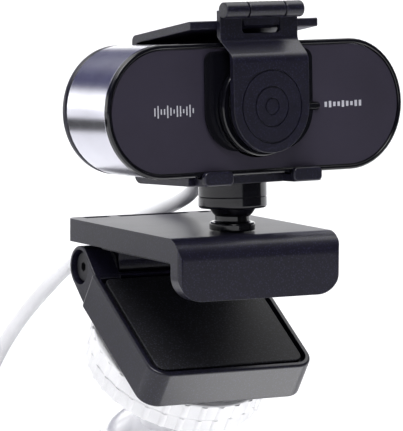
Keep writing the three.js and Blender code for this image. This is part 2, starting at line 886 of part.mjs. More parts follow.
function buildUpperJaw(group) {
  const { width, depth, thickness, topThickness, wall, flapHeight, flapThickness, noseRadius } = upperJaw;
  const half = width / 2;
  const side = new THREE.Shape();
  side.moveTo(depth, -thickness);
  side.lineTo(depth, 0);
  side.lineTo(noseRadius, 0);
  side.absarc(noseRadius, -noseRadius, noseRadius, 90 * deg, 180 * deg);
  side.lineTo(0, -flapHeight);
  side.lineTo(flapThickness, -flapHeight);
  side.lineTo(flapThickness, -thickness);
  const bar = sideSlab(side, -half, half, { steps: 6 });
  const corner = upperJaw.flapCornerRadius;
  const flapShape = roundedRect(-half, -flapHeight, half, 10, [corner, corner, 0, 0]);
  const front = frontSlab(flapShape, -1, depth + 1, { steps: 6 });
  const { frontCornerRadius, rearCornerRadius } = upperJaw;
  const planRadii = [frontCornerRadius, frontCornerRadius, rearCornerRadius, rearCornerRadius];
  const plan = extruded(roundedRect(-half, 0, half, depth, planRadii), 2 * flapHeight, { steps: 4 });
  const bodyShape = common(bar, front, moved(plan, 0, 0, -1.5 * flapHeight));

  const pocket = box(
    [wall - half, flapThickness + wall, -thickness - 1],
    [half - wall, depth - wall, -topThickness],
  );
  const hingeY = hinge.front;
  const { knuckleHalf } = hinge;
  const webHalf = hinge.radius - 0.4;
  const web = box([-knuckleHalf, hingeY - webHalf, -hingeDrop], [knuckleHalf, hingeY + webHalf, -1]);
  const knuckleStart = [-knuckleHalf, hingeY, -hingeDrop];
  const knuckle = rod(hinge.radius, knuckleStart, 2 * knuckleHalf, alongX, 24);
  const bossStart = [0, ball.back, -topThickness - 0.8];
  const studBoss = rod(upperJaw.studBossRadius, bossStart, topThickness, alongZ);
  const studHole = rod(ball.shankRadius + gap, [0, ball.back, -10], 20, alongZ);
  const pinHole = rod(hinge.pinRadius + gap, [-half - 1, hingeY, -hingeDrop], width + 2, alongX);
  const shell = join(cut(bodyShape, pocket), web, knuckle, studBoss);
  piece(group, 'upper_jaw', cut(shell, studHole, pinHole), 'blackPlastic');

  const padTop = -thickness + upperJaw.padInset;
  const padFront = flapThickness + wall + gap;
  const padRear = hingeY - webHalf - 4 * gap;
  const padHalf = half - wall - gap;
  const padShape = roundedRect(-padHalf, padFront, padHalf, padRear, [2, 2, 2, 2]);
  const pad = extruded(padShape, upperJaw.padThickness, { steps: 3 });
  piece(group, 'upper_pad', moved(pad, 0, 0, padTop - upperJaw.padThickness), 'rubber');
}

// ---------------------------------------------------------------- clip, lower jaw (origin on the hinge axis)

const jawBottom = lowerJaw.top - lowerJaw.thickness;
const armInner = hinge.knuckleHalf + 2 * gap + hinge.washer;

function jawOutline(inset, rearRadius = 1.2) {
  const half = lowerJaw.width / 2 - inset;
  const r = Math.max(lowerJaw.cornerRadius - inset, 1);
  const radii = [r, r, rearRadius, rearRadius];
  return roundedRect(-half, -lowerJaw.front + inset, half, -lowerJaw.rear - inset, radii);
}

function buildLowerJaw(group) {
  const { width, top, thickness, rim, groove, pocketDepth, wall, baseThickness, edge } = lowerJaw;
  const block = moved(extruded(jawOutline(0), thickness, { bevel: edge, steps: 4 }), 0, 0, jawBottom);
  const padPocket = moved(extruded(jawOutline(rim), 10, { steps: 4 }), 0, 0, top - pocketDepth);
  const floorBottom = top - pocketDepth - lowerJaw.floorThickness;
  const underPocket = moved(extruded(jawOutline(wall), 20, { steps: 4 }), 0, 0, floorBottom - 20);

  const bar = new THREE.Shape();
  bar.absarc(0, 0, hinge.radius, -80 * deg, 80 * deg);
  bar.lineTo(-lowerJaw.rear - 2, top);
  bar.lineTo(-lowerJaw.rear - 2, jawBottom);
  const armWidth = width / 2 - armInner;
  const arms = [-width / 2, armInner].map((x) => sideSlab(bar, x, x + armWidth, { steps: 10 }));
  const bossRadius = head.insertRadius + head.insertWall;
  const insertBoss = rod(bossRadius, [0, -head.axisFromHinge, floorBottom - 3], 3.5, alongZ);
  const pinHole = rod(hinge.pinRadius + gap, [-width, 0, 0], 2 * width, alongX);
  const recesses = [-width / 2 - 1, width / 2 - hinge.recessDepth].map((x) =>
    rod(hinge.recessRadius, [x, 0, 0], hinge.recessDepth + 1, alongX, 20),
  );
  const insertDepth = floorBottom - jawBottom + gap;
  const insertStart = [0, -head.axisFromHinge, jawBottom];
  const insertHole = rod(head.insertRadius + gap, insertStart, insertDepth, alongZ);
  const shell = join(cut(block, padPocket, underPocket), ...arms, insertBoss);
  piece(group, 'lower_jaw', cut(shell, pinHole, ...recesses, insertHole), 'blackPlastic');

  const pad = extruded(jawOutline(rim + groove, 2), lowerJaw.padThickness, { steps: 4 });
  piece(group, 'grip_pad', moved(pad, 0, 0, top - pocketDepth + gap), 'rubber');

  const base = extruded(jawOutline(wall + gap), baseThickness, { steps: 4 });
  const wayStart = [0, -head.axisFromHinge, jawBottom - 1];
  const insertWay = rod(head.insertRadius + 2 * gap, wayStart, baseThickness + 2, alongZ);
  piece(group, 'lower_jaw_base', cut(moved(base, 0, 0, jawBottom), insertWay), 'blackPlastic');

  const insertLength = floorBottom - jawBottom - gap;
  const bore = head.screwRadius + gap;
  const insert = turned(
    [[bore, 0], [head.insertRadius, 0], [head.insertRadius, insertLength], [bore, insertLength]],
    alongZ,
    18,
  );
  piece(group, 'thread_insert', moved(insert, 0, -head.axisFromHinge, jawBottom + gap), 'brass');
}

function buildHingePin(group) {
  const half = lowerJaw.width / 2;
  const seat = half - hinge.recessDepth;
  const headLow = -seat - gap - hinge.pinHeadHeight;
  const pinEnd = seat + gap + hinge.nutHeight;
  const pin = join(
    rod(hinge.pinRadius, [-seat - 1.5, 0, 0], pinEnd + seat + 1.5, alongX),
    rod(hinge.pinHeadRadius, [headLow, 0, 0], hinge.pinHeadHeight, alongX),
  );
  const drive = rod(hinge.pinDriveRadius, [headLow - 1, 0, 0], 2.2, alongX, 6);
  piece(group, 'hinge_pin', cut(pin, drive), 'steel');
  const nut = cut(
    rod(hinge.nutRadius, [seat + gap, 0, 0], hinge.nutHeight, alongX, 6),
    rod(hinge.pinRadius + gap, [seat - 1, 0, 0], 6, alongX),
  );
  piece(group, 'hinge_nut', nut, 'steel');
  const bore = hinge.pinRadius + gap;
  const { washer, washerRadius, knuckleHalf } = hinge;
  const profile = [[bore, 0], [washerRadius, 0], [washerRadius, washer], [bore, washer]];
  [-1, 1].forEach((side) => {
    const x = side < 0 ? -knuckleHalf - gap - washer : knuckleHalf + gap;
    const ring = moved(turned(profile, alongX, 18), x, 0, 0);
    piece(group, side < 0 ? 'friction_washer_left' : 'friction_washer_right', ring, 'paleMetal');
  });
}

// ---------------------------------------------------------------- tripod head (origin at the ball's centre)

const ringTop = head.height - gap - head.padProud;
const ringBottom = ringTop - head.ringThickness;
const platformTop = ringBottom - gap;
const platformBottom = platformTop - head.platformThickness;
const neckTop = platformBottom - head.coneHeight;

function buildHeadTop(group) {
  const { ringRadius, padRadius, padThickness, screwRadius, lobes, lobeDepth } = head;
  const padBottom = head.height - gap - padThickness;
  const disc = extruded(lobed(ringRadius, lobeDepth, lobes), head.ringThickness, { bevel: 0.5 });
  const ring = cut(
    moved(disc, 0, 0, ringBottom),
    rod(padRadius + gap, [0, 0, padBottom - gap], 9, alongZ, 32),
    rod(screwRadius + gap, [0, 0, ringBottom - 1], 12),
  );
  piece(group, 'lock_ring', ring, 'paleGrey');
  const pad = turned(
    [
      [screwRadius + 2 * gap, padBottom],
      [padRadius, padBottom],
      [padRadius, padBottom + padThickness],
      [screwRadius + 2 * gap, padBottom + padThickness],
    ],
    alongZ,
    32,
  );
  piece(group, 'platform_pad', pad, 'paleRubber');
}

function buildBall(group) {
  const { ballRadius, stemRadius, platformRadius, platformNeck, screwRadius, lobes, lobeDepth } = head;
  const screwBottom = platformTop - 6;
  const stemEnd = stemRadius + head.stemRim;
  const stemCollar = stemRadius + head.stemCollar;
  const rim = extruded(lobed(platformRadius, lobeDepth, lobes), head.platformThickness, { bevel: 0.5 });
  const cone = turned([
    [0, neckTop],
    [platformNeck, neckTop],
    [platformRadius - 2.4, platformBottom + 0.4],
    [0, platformBottom + 0.4],
  ]);
  const platform = cut(
    join(moved(rim, 0, 0, platformBottom), cone),
    rod(stemEnd + gap, [0, 0, neckTop - 1], screwBottom - neckTop + 1, alongZ, 24),
    rod(screwRadius + gap, [0, 0, neckTop - 1], 20, alongZ, 24),
  );
  piece(group, 'head_platform', platform, 'paleGrey');

  const neckAngle = Math.acos(stemRadius / ballRadius) / deg;
  const profile = [
    [0, -ballRadius],
    ...arc(ballRadius, -75, neckAngle, 10),
    [stemRadius, neckTop - 3],
    [stemCollar, neckTop - 2],
    [stemCollar, neckTop - gap],
    [stemEnd, neckTop - gap],
    [stemEnd, screwBottom - gap],
    [0, screwBottom - gap],
  ];
  piece(group, 'head_ball', turned(profile), 'paleMetal');
  const screwTop = head.height + head.screwReach;
  const screw = turned(
    [
      [0, screwBottom],
      [screwRadius, screwBottom],
      [screwRadius, screwTop - 1],
      [screwRadius - 1, screwTop],
      [0, screwTop],
    ],
    alongZ,
    24,
  );
  piece(group, 'mounting_screw', screw, 'steel');
}

const seatInner = head.ballRadius + gap;
const seatOuter = seatInner + socket.seatWall;
const cavity = seatOuter + gap;
const socketRadius = cavity + socket.wall;
const socketDrop = cavity + socket.floorThickness; // from the ball's centre to the top of the hub

function buildSeat(group) {
  const edge = -90 + socket.seatHalfAngle;
  const profile = [...arc(seatOuter, -90, edge, 3), ...arc(seatInner, edge, -90, 3)];
  piece(group, 'ball_seat', turned(profile, alongZ, 20), 'paleRubber');
}

// ---------------------------------------------------------------- tripod stand (origin at the ball's centre)

function buildSocket(group) {
  const { capTop, screwRadius, bossRadius } = socket;
  const radius = socketRadius;
  const bossEnd = radius + socket.bossReach;
  const knobStart = bossEnd + socket.knobClearance;
  const clampDrop = bossRadius + 2 * gap;
  const bowlBottom = -socketDrop + gap;
  const body = join(
    turned([
      [0, bowlBottom],
      [radius - 5, bowlBottom],
      [radius - 1, bowlBottom + 3],
      [radius, bowlBottom + 8],
      [radius, 0],
      [0, 0],
    ]),
    rod(bossRadius, [-bossEnd, 0, -clampDrop], bossEnd, alongX),
  );
  const screwHole = rod(screwRadius + gap, [-bossEnd - 1, 0, -clampDrop], bossEnd, alongX);
  const drain = rod(3, [0, 0, -socketDrop - 1], 12, alongZ, 16);
  const bowl = cut(body, turned(arc(cavity, -90, 90, 14)), screwHole, drain);
  piece(group, 'head_socket', bowl, 'paleGrey');

  const rimAngle = Math.asin(capTop / seatInner) / deg;
  const lowAngle = Math.asin(gap / seatInner) / deg;
  const cap = turned([
    ...arc(seatInner, lowAngle, rimAngle, 3),
    [radius - 2.4, capTop],
    [radius, capTop - 1.6],
    [radius, gap],
  ]);
  piece(group, 'socket_cap', cap, 'paleGrey');

  const knob = subgroup(group, [0, 0, -clampDrop]);
  const { knobLobeDepth, knobLobes, knobLength, knobGrip } = socket;
  const shape = extruded(lobed(socket.knobRadius, knobLobeDepth, knobLobes, 4), knobLength, { bevel: 1 });
  const toLeft = new THREE.Matrix4().makeRotationY(-90 * deg);
  const knobBody = cut(
    moved(shape, 0, 0, knobStart).applyMatrix4(toLeft),
    rod(screwRadius + gap, [-knobStart - knobGrip, 0, 0], knobGrip + 2, alongX, 20),
  );
  piece(knob, 'clamp_knob', knobBody, 'paleGrey');
  const tip = Math.sqrt(seatInner ** 2 - (clampDrop - screwRadius) ** 2) + gap;
  const screwEnd = knobStart + knobGrip - 0.5;
  piece(knob, 'clamp_screw', rod(screwRadius, [-screwEnd, 0, 0], screwEnd - tip, alongX, 20), 'steel');
}

const hubTop = stand.ballHeight - socketDrop;
const pivotZ = hubTop - stand.pivotDrop;
const legRun = stand.footRadius - stand.pivotRadius;
const legFall = pivotZ - stand.footHeight;
const legLength = Math.hypot(legRun, legFall);
const legSlope = Math.atan2(legFall, legRun) / deg;
const legNames = { front: -90, right: 30, left: 150 };

function buildHub(group) {
  const { hubRadius, hubThickness, pivotRadius, tongue, pinRadius } = stand;
  const bottom = hubTop - hubThickness;
  const disc = turned([
    [0, bottom],
    [hubRadius - 3, bottom],
    [hubRadius, bottom + 2.5],
    [hubRadius, hubTop - 3],
    [hubRadius - 2.5, hubTop],
    [0, hubTop],
  ]);
  const slotHalf = tongue / 2 + gap;
  const pinHalf = stand.pinLength / 2 + gap + 0.1;
  const cuts = Object.values(legNames).flatMap((angle) =>
    [
      box([pivotRadius - 5.4, -slotHalf, bottom - 1], [hubRadius + 4, slotHalf, pivotZ + 4.4]),
      rod(pinRadius + gap, [pivotRadius, -pinHalf, pivotZ], 2 * pinHalf, alongY, 16),
    ].map((g) => g.rotateZ(angle * deg)),
  );
  piece(group, 'tripod_hub', cut(disc, ...cuts), 'paleGrey');
}

function buildLeg(group, name) {
  const { pivotRadius, legWidth, legThickness, tongue, pinRadius, bootRadius, barStart } = stand;
  const leg = subgroup(group, [0, 0, 0], [0, 0, legNames[name]]);
  const tilt = new THREE.Matrix4().makeTranslation(pivotRadius, 0, pivotZ);
  tilt.multiply(new THREE.Matrix4().makeRotationY(legSlope * deg));
  const bar = new THREE.Shape();
  bar.absellipse(0, 0, legThickness / 2, legWidth / 2, 0, 2 * Math.PI);
  const barLength = legLength - barStart - stand.legEnd;
  const barSolid = extruded(bar, barLength, { bevel: 0.8, steps: 8 }).applyMatrix4(alongX);
  const tongueHalf = stand.tongueHeight / 2;
  const tongueRadii = [tongueHalf - 0.1, 0.5, 0.5, tongueHalf - 0.1];
  const tongueEnd = barStart + stand.tongueEnd;
  const tongueShape = roundedRect(-stand.tongueEnd, -tongueHalf, tongueEnd, tongueHalf, tongueRadii);
  const shape = cut(
    join(
      barSolid.translate(barStart, 0, 0),
      frontSlab(tongueShape, -tongue / 2, tongue / 2, { steps: 5 }),
    ),
    rod(pinRadius + gap, [0, -legWidth, 0], 2 * legWidth, alongY, 16),
  );
  piece(leg, `leg_${name}`, shape.applyMatrix4(tilt), 'paleGrey');
  const pinStart = [pivotRadius, -stand.pinLength / 2, pivotZ];
  piece(leg, `leg_pin_${name}`, rod(pinRadius, pinStart, stand.pinLength, alongY, 16), 'steel');

  const bootBack = legLength - stand.bootLength;
  const boot = turned(
    [
      [0, bootBack],
      [bootRadius - 0.8, bootBack],
      [bootRadius, bootBack + 1],
      ...arc(bootRadius, 0, 90, 4, 0, legLength),
    ],
    alongX,
    18,
  );
  const hollow = new THREE.Shape();
  hollow.absellipse(0, 0, legThickness / 2 + gap, legWidth / 2 + gap, 0, 2 * Math.PI);
  const holeLength = stand.bootLength - stand.legEnd + gap + 1;
  const socketHole = extruded(hollow, holeLength, { steps: 8 }).applyMatrix4(alongX);
  const rubber = cut(boot, socketHole.translate(bootBack - 1, 0, 0)).applyMatrix4(tilt);
  const floor = box([0, -20, -20], [2 * stand.footRadius, 20, 0]);
  piece(leg, `foot_${name}`, cut(rubber, floor), 'paleRubber');
}

// ---------------------------------------------------------------- cable

const reliefEnd = wallBack + relief.length;

function buildRelief(group) {
  const innerEnd = shellRear - relief.collarThickness;
  const { collarRadius, neckRadius, endRadius } = relief;
  const profile = [
    [0, innerEnd],
    [collarRadius, innerEnd],
    [collarRadius, shellRear],
    [neckRadius, shellRear],
    [neckRadius, webcam.depth + gap],
    [collarRadius, webcam.depth + gap],
    [collarRadius, wallBack + 0.6],
    [neckRadius, wallBack + 1.8],
    [endRadius, reliefEnd],
    [0, reliefEnd],
  ];
  piece(group, 'strain_relief', moved(turned(profile, alongY, 20), relief.x, 0, relief.z), 'blackPlastic');
}

function buildCord(group) {
  const path = new THREE.CatmullRomCurve3(cord.route.map((p) => new THREE.Vector3(...p)));
  const section = new THREE.Shape();
  section.absarc(0, 0, cord.radius, 0, 2 * Math.PI);
  const tube = new THREE.ExtrudeGeometry(section, {
    steps: Math.round(path.getLength() / cord.stepLength),
    extrudePath: path,
    curveSegments: cord.sides / 2,
  });
  piece(group, 'usb_cord', tube, 'paleRubber');

  const { inner, outer, bottom, height } = coil;
  const top = bottom + height;
  const ring = turned([[inner, bottom], [outer, bottom], [outer, top], [inner, top]], alongZ, 36);
  piece(group, 'cord_coil', moved(ring, coil.x, coil.y, 0), 'paleRubber');

  const half = tie.width / 2;
  const inside = Math.sqrt(inner ** 2 - half ** 2) - gap - tie.slack;
  const [tieOuter, tieTop] = [outer + gap, top + gap];
  const loop = cut(
    box([inside - tie.thickness, -half, 0], [tieOuter + tie.thickness, half, tieTop + tie.thickness]),
    box([inside, -half - 1, tie.thickness], [tieOuter, half + 1, tieTop]),
  );
  piece(group, 'cord_tie', moved(loop.rotateZ(180 * deg), coil.x, coil.y, 0), 'rubber');
  buildPlug(subgroup(group, [coil.x + plug.start, coil.y + outer - cord.radius, plug.height / 2]));
}

// USB plug, lying flat with its axis along +X
function buildPlug(group) {
  const { width, height, reliefLength, length, shellWidth: plugWidth, shellHeight: plugHeight } = plug;
  const shape = roundedRect(-width / 2, -height / 2, width / 2, height / 2, [2.5, 2.5, 2.5, 2.5]);
  const body = extruded(shape, length, { bevel: 0.8, steps: 4 });
  const toX = new THREE.Matrix4().makeRotationZ(90 * deg).multiply(frontView);
  body.applyMatrix4(toX);
  body.computeBoundingBox();
  body.translate(reliefLength - body.boundingBox.min.x, 0, 0);
  const neckEnd = reliefLength + 1;
  const neckProfile = [[0, 0], [plug.reliefStart, 0], [plug.reliefEnd, neckEnd], [0, neckEnd]];
  const neck = turned(neckProfile, alongX, 16);
  piece(group, 'plug_body', join(body, neck), 'blackPlastic');
  const from = reliefLength + length + gap;
  const [y, z] = [plugWidth / 2, plugHeight / 2];
  const [innerY, innerZ] = [y - plug.shellWall, z - plug.shellWall];
  const slotFrom = from + plug.slotStart;
  const slots = [-plug.slotY, plug.slotY].map((middle) => {
    const low = middle - plug.slotWidth / 2;
    return box([slotFrom, low, 0], [slotFrom + plug.slotWidth, low + plug.slotWidth, plugHeight]);
  });
  const shell = cut(
    box([from, -y, -z], [from + plug.shellLength, y, z]),
    box([from + 1, -innerY, -innerZ], [from + 2 * plug.shellLength, innerY, innerZ]),
    ...slots,
  );
  piece(group, 'plug_shell', shell, 'steel');
}

// ---------------------------------------------------------------- assembly

const object = new THREE.Group();
const tripod = subgroup(object);
buildHub(tripod);
Object.keys(legNames).forEach((name) => buildLeg(tripod, name));

const ballCentre = subgroup(tripod, [0, 0, stand.ballHeight]);
buildSocket(ballCentre);

const headAxis = subgroup(ballCentre, [0, 0, 0], [headTilt, 0, 0]);
buildSeat(headAxis);
buildBall(headAxis);
buildHeadTop(headAxis);

const hingeAxis = subgroup(headAxis, [0, head.axisFromHinge, head.height - jawBottom]);
buildLowerJaw(hingeAxis);
buildHingePin(hingeAxis);

const jawAngle = subgroup(hingeAxis, [0, 0, 0], [-clipAngle, 0, 0]);
const clip = subgroup(jawAngle, [0, -hinge.front, hingeDrop]);
buildUpperJaw(clip);

const studAxis = subgroup(clip, [0, ball.back, ballHeight]);
buildBallJoint(studAxis);

const camera = subgroup(studAxis, [0, 0, 0], [0, 0, webcamYaw]);
const nod = subgroup(camera, [0, 0, 0], [-webcamPitch, 0, 0]);
buildLiner(nod);
const face = subgroup(nod, seatCentre.map((v) => -v));
buildWebcam(face);
buildBracket(face);
buildShutter(face);
buildRelief(face);

// Stand the object on the origin, at the middle of its box
const bounds = new THREE.Box3().setFromObject(object, true);
tripod.position.set(-(bounds.min.x + bounds.max.x) / 2, -(bounds.min.y + bounds.max.y) / 2, -bounds.min.z);
buildCord(object);

export default object;
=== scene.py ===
"""The looks of a webcam in a clip mount on a small desktop tripod, built around its CAD frame.

Shapes are made in millimetres, in the frame of the part that they belong to.
They are then put in their place, in metres.
"""

import json
import math

import bmesh
import bpy
from mathutils import Matrix, Vector


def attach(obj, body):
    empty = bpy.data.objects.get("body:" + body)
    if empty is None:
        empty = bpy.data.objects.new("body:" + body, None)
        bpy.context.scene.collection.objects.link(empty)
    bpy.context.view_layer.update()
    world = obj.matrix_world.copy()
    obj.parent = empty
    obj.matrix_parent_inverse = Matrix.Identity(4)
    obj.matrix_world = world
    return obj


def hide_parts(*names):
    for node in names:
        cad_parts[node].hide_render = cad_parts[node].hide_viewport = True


bl_info = {
    "name": "Webcam on tripod",
    "version": (1, 0, 0),
    "blender": (4, 5, 0),
    "location": "View3D > Sidebar > Webcam",
    "description": "Builds the looks of a clip-on webcam on a desktop tripod around its CAD frame",
    "category": "Add Mesh",
}

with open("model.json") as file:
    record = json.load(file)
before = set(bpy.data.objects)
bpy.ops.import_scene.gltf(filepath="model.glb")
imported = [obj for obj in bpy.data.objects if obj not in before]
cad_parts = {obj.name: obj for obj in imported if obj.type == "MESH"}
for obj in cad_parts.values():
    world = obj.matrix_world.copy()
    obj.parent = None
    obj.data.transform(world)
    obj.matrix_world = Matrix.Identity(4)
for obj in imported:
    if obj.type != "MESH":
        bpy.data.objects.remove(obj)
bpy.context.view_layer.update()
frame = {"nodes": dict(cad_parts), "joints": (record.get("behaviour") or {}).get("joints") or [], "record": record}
JOINTS = {joint["name"]: joint for joint in frame["joints"]}
MM = 0.001
MICRON = 0.000001
GAP = 0.3


# ---------------------------------------------------------------- frames of the parts


def joint_place(name):
    """Where a joint is, in millimetres."""
    return Vector(JOINTS[name]["pos_m"]) / MM


def joint_axis(name):
    return Vector(JOINTS[name]["axis"]).normalized()


def part_frame(origin, x=(1, 0, 0), y=(0, 1, 0)):
    """The matrix from a part's own millimetres to the object's metres."""
    x, y = Vector(x).normalized(), Vector(y).normalized()
    turn = Matrix((x, y, x.cross(y))).transposed().to_4x4()
    return Matrix.Translation(Vector(origin) * MM) @ turn @ Matrix.Scale(MM, 4)


BALL_BACK, BALL_DROP = 11.8, 22.56  # the stud's ball, behind and below the middle of the webcam's face
face_x, face_y = joint_axis("webcam_nod"), joint_axis("webcam_roll")
face_z = face_x.cross(face_y)
FACE = part_frame(joint_place("webcam_nod") - BALL_BACK * face_y + BALL_DROP * face_z, face_x, face_y)
STUD = part_frame(joint_place("webcam_pan"))
HINGE_Y, HINGE_DROP = 52.5, 12  # the clip's hinge, behind and below the top front edge of the upper jaw
CLIP = part_frame(joint_place("clip_open") - Vector((0, HINGE_Y, -HINGE_DROP)))
leaning_back = joint_axis("head_pan").cross(Vector((1, 0, 0)))
JAW = part_frame(joint_place("clip_open"), y=leaning_back)
HEAD = part_frame(joint_place("head_tilt"), y=leaning_back)
SOCKET = part_frame(joint_place("head_tilt"))


# ---------------------------------------------------------------- settings


def colour(name, description, default):
    return bpy.props.FloatVectorProperty(
        name=name, description=description, default=default, subtype="COLOR", size=3, min=0, max=1
    )


def length(name, description, default):
    """A size in metres, shown in the scene's unit."""
    return bpy.props.FloatProperty(
        name=name, description=description, default=default, min=0, unit="LENGTH", precision=5
    )


def share(name, description, default, high=1.0):
    return bpy.props.FloatProperty(name=name, description=description, default=default, min=0, max=high)


class WebcamFinishes(bpy.types.PropertyGroup):
    """Colours and grain of the finishes"""

    clip_colour: colour(
        "Clip plastic", "Colour of the clip, the cradle and the shutter", (0.006, 0.0055, 0.012)
    )
    polished_colour: colour(
        "Polished black", "Colour of the bezel and the lens housing", (0.0035, 0.0035, 0.0055)
    )
    panel_colour: colour("Front panel", "Colour of the matte panel round the lens", (0.023, 0.0195, 0.033))
    shell_colour: colour("Shell", "Colour of the metallic lacquer on the shell", (0.6, 0.6, 0.66))
    pad_colour: colour("Grip pads", "Colour of the rubber in the jaws", (0.004, 0.004, 0.006))
    stand_colour: colour("Stand", "Colour of the tripod's plastic", (0.88, 0.88, 0.89))
    cord_colour: colour("Cord", "Colour of the cord's jacket", (0.7, 0.7, 0.715))
    grain_size: length("Grain", "Size of the grain in the moulded plastic", 0.00036)


class WebcamSizes(bpy.types.PropertyGroup):
    """Sizes of the fine detail"""

    edge: length("Edge rounding", "Radius on the moulded edges", 0.00055)
    groove: length("Groove", "Width of the rings in the shutter", 0.00042)
    cord_diameter: length("Cord diameter", "Diameter of the cord", 0.0038)
    cord_length: length("Cord length", "Length of the cord with its coil", 1.42)
    collar_lobes: bpy.props.IntProperty(
        name="Collar lobes", description="Finger lobes round the head's collar", default=32, min=6
    )
    knob_lobes: bpy.props.IntProperty(
        name="Knob lobes", description="Finger lobes round the clamp knob", default=8, min=3
    )


class WebcamStage(bpy.types.PropertyGroup):
    """Floor, lights and camera"""

    floor_colour: colour("Floor", "Colour of the floor", (0.93, 0.93, 0.935))
    key_strength: share("Key light", "Strength of the soft light from above", 3.0, 20)
    room_strength: share("Room light", "Strength of the light from all round", 2.2, 20)
    card_strength: share("Low card", "Strength of the card that the lower jaw's front reflects", 5.0, 40)


# ---------------------------------------------------------------- outlines, in millimetres


def around(radius, degrees, centre=(0, 0)):
    angle = math.radians(degrees)
    return centre[0] + radius * math.cos(angle), centre[1] + radius * math.sin(angle)


def circle(radius, steps=64):
    return [around(radius, 360 * i / steps) for i in range(steps)]


def arc(radius, start, end, steps, centre=(0, 0)):
    turn = (end - start) / steps
    return [around(radius, start + turn * i, centre) for i in range(steps + 1)]


def stadium(width, height, steps=28):
    """A lying stadium, anticlockwise."""
    r = height / 2
    middle = width / 2 - r
    return [*arc(r, -90, 90, steps, (middle, 0)), *arc(r, 90, 270, steps, (-middle, 0))]


def eased(points, radii, steps=5):
    """A closed outline with its corners rounded. radii is one number, or one for each corner."""
    if not hasattr(radii, "__len__"):
        radii = [radii] * len(points)
    out = []
    for i, corner in enumerate(points):
        p = Vector(corner)
        before, after = Vector(points[i - 1]) - p, Vector(points[(i + 1) % len(points)]) - p
        turn = before.angle(after)
        if radii[i] <= 0 or turn > math.pi - 0.02:
            out.append(tuple(p))
            continue
        reach = min(radii[i] / math.tan(turn / 2), 0.49 * before.length, 0.49 * after.length)
        radius = reach * math.tan(turn / 2)
        u, v = before.normalized(), after.normalized()
        centre = p + (u + v).normalized() * radius / math.sin(turn / 2)
        first, last = p + u * reach - centre, p + v * reach - centre
        sweep = first.angle_signed(last)
        for k in range(steps + 1):
            angle = -sweep * k / steps
            c, s = math.cos(angle), math.sin(angle)
            out.append((centre.x + first.x * c - first.y * s, centre.y + first.x * s + first.y * c))
    return out


def rectangle(left, bottom, right, top, radii=0, steps=8):
    """A rounded rectangle; radii go bottom left, bottom right, top right, top left."""
    return eased([(left, bottom), (right, bottom), (right, top), (left, top)], radii, steps)


def turned_profile(points, radius, steps=4):
    """An outline to turn, with every corner off the axis rounded."""
    return eased(points, [0 if p[0] < 1e-6 else radius for p in points], steps)


# ---------------------------------------------------------------- meshes, in millimetres

PLANES = {
    "x": lambda a, b, depth: (depth, a, b),
    "y": lambda a, b, depth: (a, depth, b),
    "z": lambda a, b, depth: (a, b, depth),
}


def new_piece(name, verts, faces):
    """A closed mesh with its faces outwards."""
    mesh = bpy.data.meshes.new(name)
    mesh.from_pydata([tuple(v) for v in verts], [], faces)
    work = bmesh.new()
    work.from_mesh(mesh)
    bmesh.ops.remove_doubles(work, verts=work.verts, dist=1e-5)
    bmesh.ops.recalc_face_normals(work, faces=work.faces)
    work.to_mesh(mesh)
    work.free()
    piece = bpy.data.objects.new(name, mesh)
    bpy.context.scene.collection.objects.link(piece)
    return piece


def loft(name, rings, ring_closes=False):
    """Skins a row of rings of as many points each. The ends are capped, or joined to each other."""
    count = len(rings[0])
    verts = [p for ring in rings for p in ring]
    faces = []
    last = len(rings) if ring_closes else len(rings) - 1
    for k in range(last):
        a, b = k * count, (k + 1) % len(rings) * count
        faces += [(a + i, a + (i + 1) % count, b + (i + 1) % count, b + i) for i in range(count)]
    if not ring_closes:
        faces += [tuple(range(count))[::-1], tuple(range(len(verts) - count, len(verts)))]
    return new_piece(name, verts, faces)


def prism(name, outline, low, high, axis):
    """An outline pushed along an axis from low to high."""
    return loft(name, [[PLANES[axis](a, b, depth) for a, b in outline] for depth in (low, high)])


def turned(name, profile, axis="z", steps=96, centre=(0, 0, 0)):
    """A profile of (radius, height) points turned about an axis."""
    order = {"x": (2, 0, 1), "y": (0, 2, 1), "z": (0, 1, 2)}[axis]
    verts, rings, faces = [], [], []
    for radius, height in profile:
        ring = []
        for i in range(1 if radius < 1e-6 else steps):
            angle = 2 * math.pi * i / steps
            own = (radius * math.cos(angle), radius * math.sin(angle), height)
            ring.append(len(verts))
            verts.append(tuple(own[order[k]] + centre[k] for k in range(3)))
        rings.append(ring)
    for a, b in zip(rings, rings[1:] + rings[:1]):
        for i in range(steps if len(a) + len(b) > 2 else 0):
            j = (i + 1) % steps
            face = {a[i % len(a)]: 0, a[j % len(a)]: 0, b[j % len(b)]: 0, b[i % len(b)]: 0}
            faces.append(tuple(face))
    return new_piece(name, verts, faces)


def rod(name, radius, start, end, axis="z", centre=(0, 0, 0), steps=64, ease=0.0):
    profile = [(0, start), (radius, start), (radius, end), (0, end)]
    return turned(name, turned_profile(profile, ease) if ease else profile, axis, steps, centre)


def block(name, low, high):
    return prism(
        name,
        [(low[0], low[1]), (high[0], low[1]), (high[0], high[1]), (low[0], high[1])],
        low[2],
        high[2],
        "z",
    )


def plain(piece):
    """Turns what the modifiers make into the piece's own mesh."""
    bpy.context.view_layer.update()
    graph = bpy.context.evaluated_depsgraph_get()
    mesh = bpy.data.meshes.new_from_object(piece.evaluated_get(graph), depsgraph=graph)
    old = piece.data
    piece.modifiers.clear()
    piece.data = mesh
    bpy.data.meshes.remove(old)
    return piece


def combine(piece, operation, *tools):
    """Joins tools to a piece, cuts them out of it or keeps only what they share."""
    for tool in tools:
        modifier = piece.modifiers.new("combine", "BOOLEAN")
        modifier.operation = operation
        modifier.object = tool
        modifier.solver = "EXACT"
    plain(piece)
    for tool in tools:
        bpy.data.objects.remove(tool)
    return piece


def cut(piece, *tools):
    return combine(piece, "DIFFERENCE", *tools)


def join(piece, *tools):
    return combine(piece, "UNION", *tools)


def overlap(piece, *tools):
    return combine(piece, "INTERSECT", *tools)


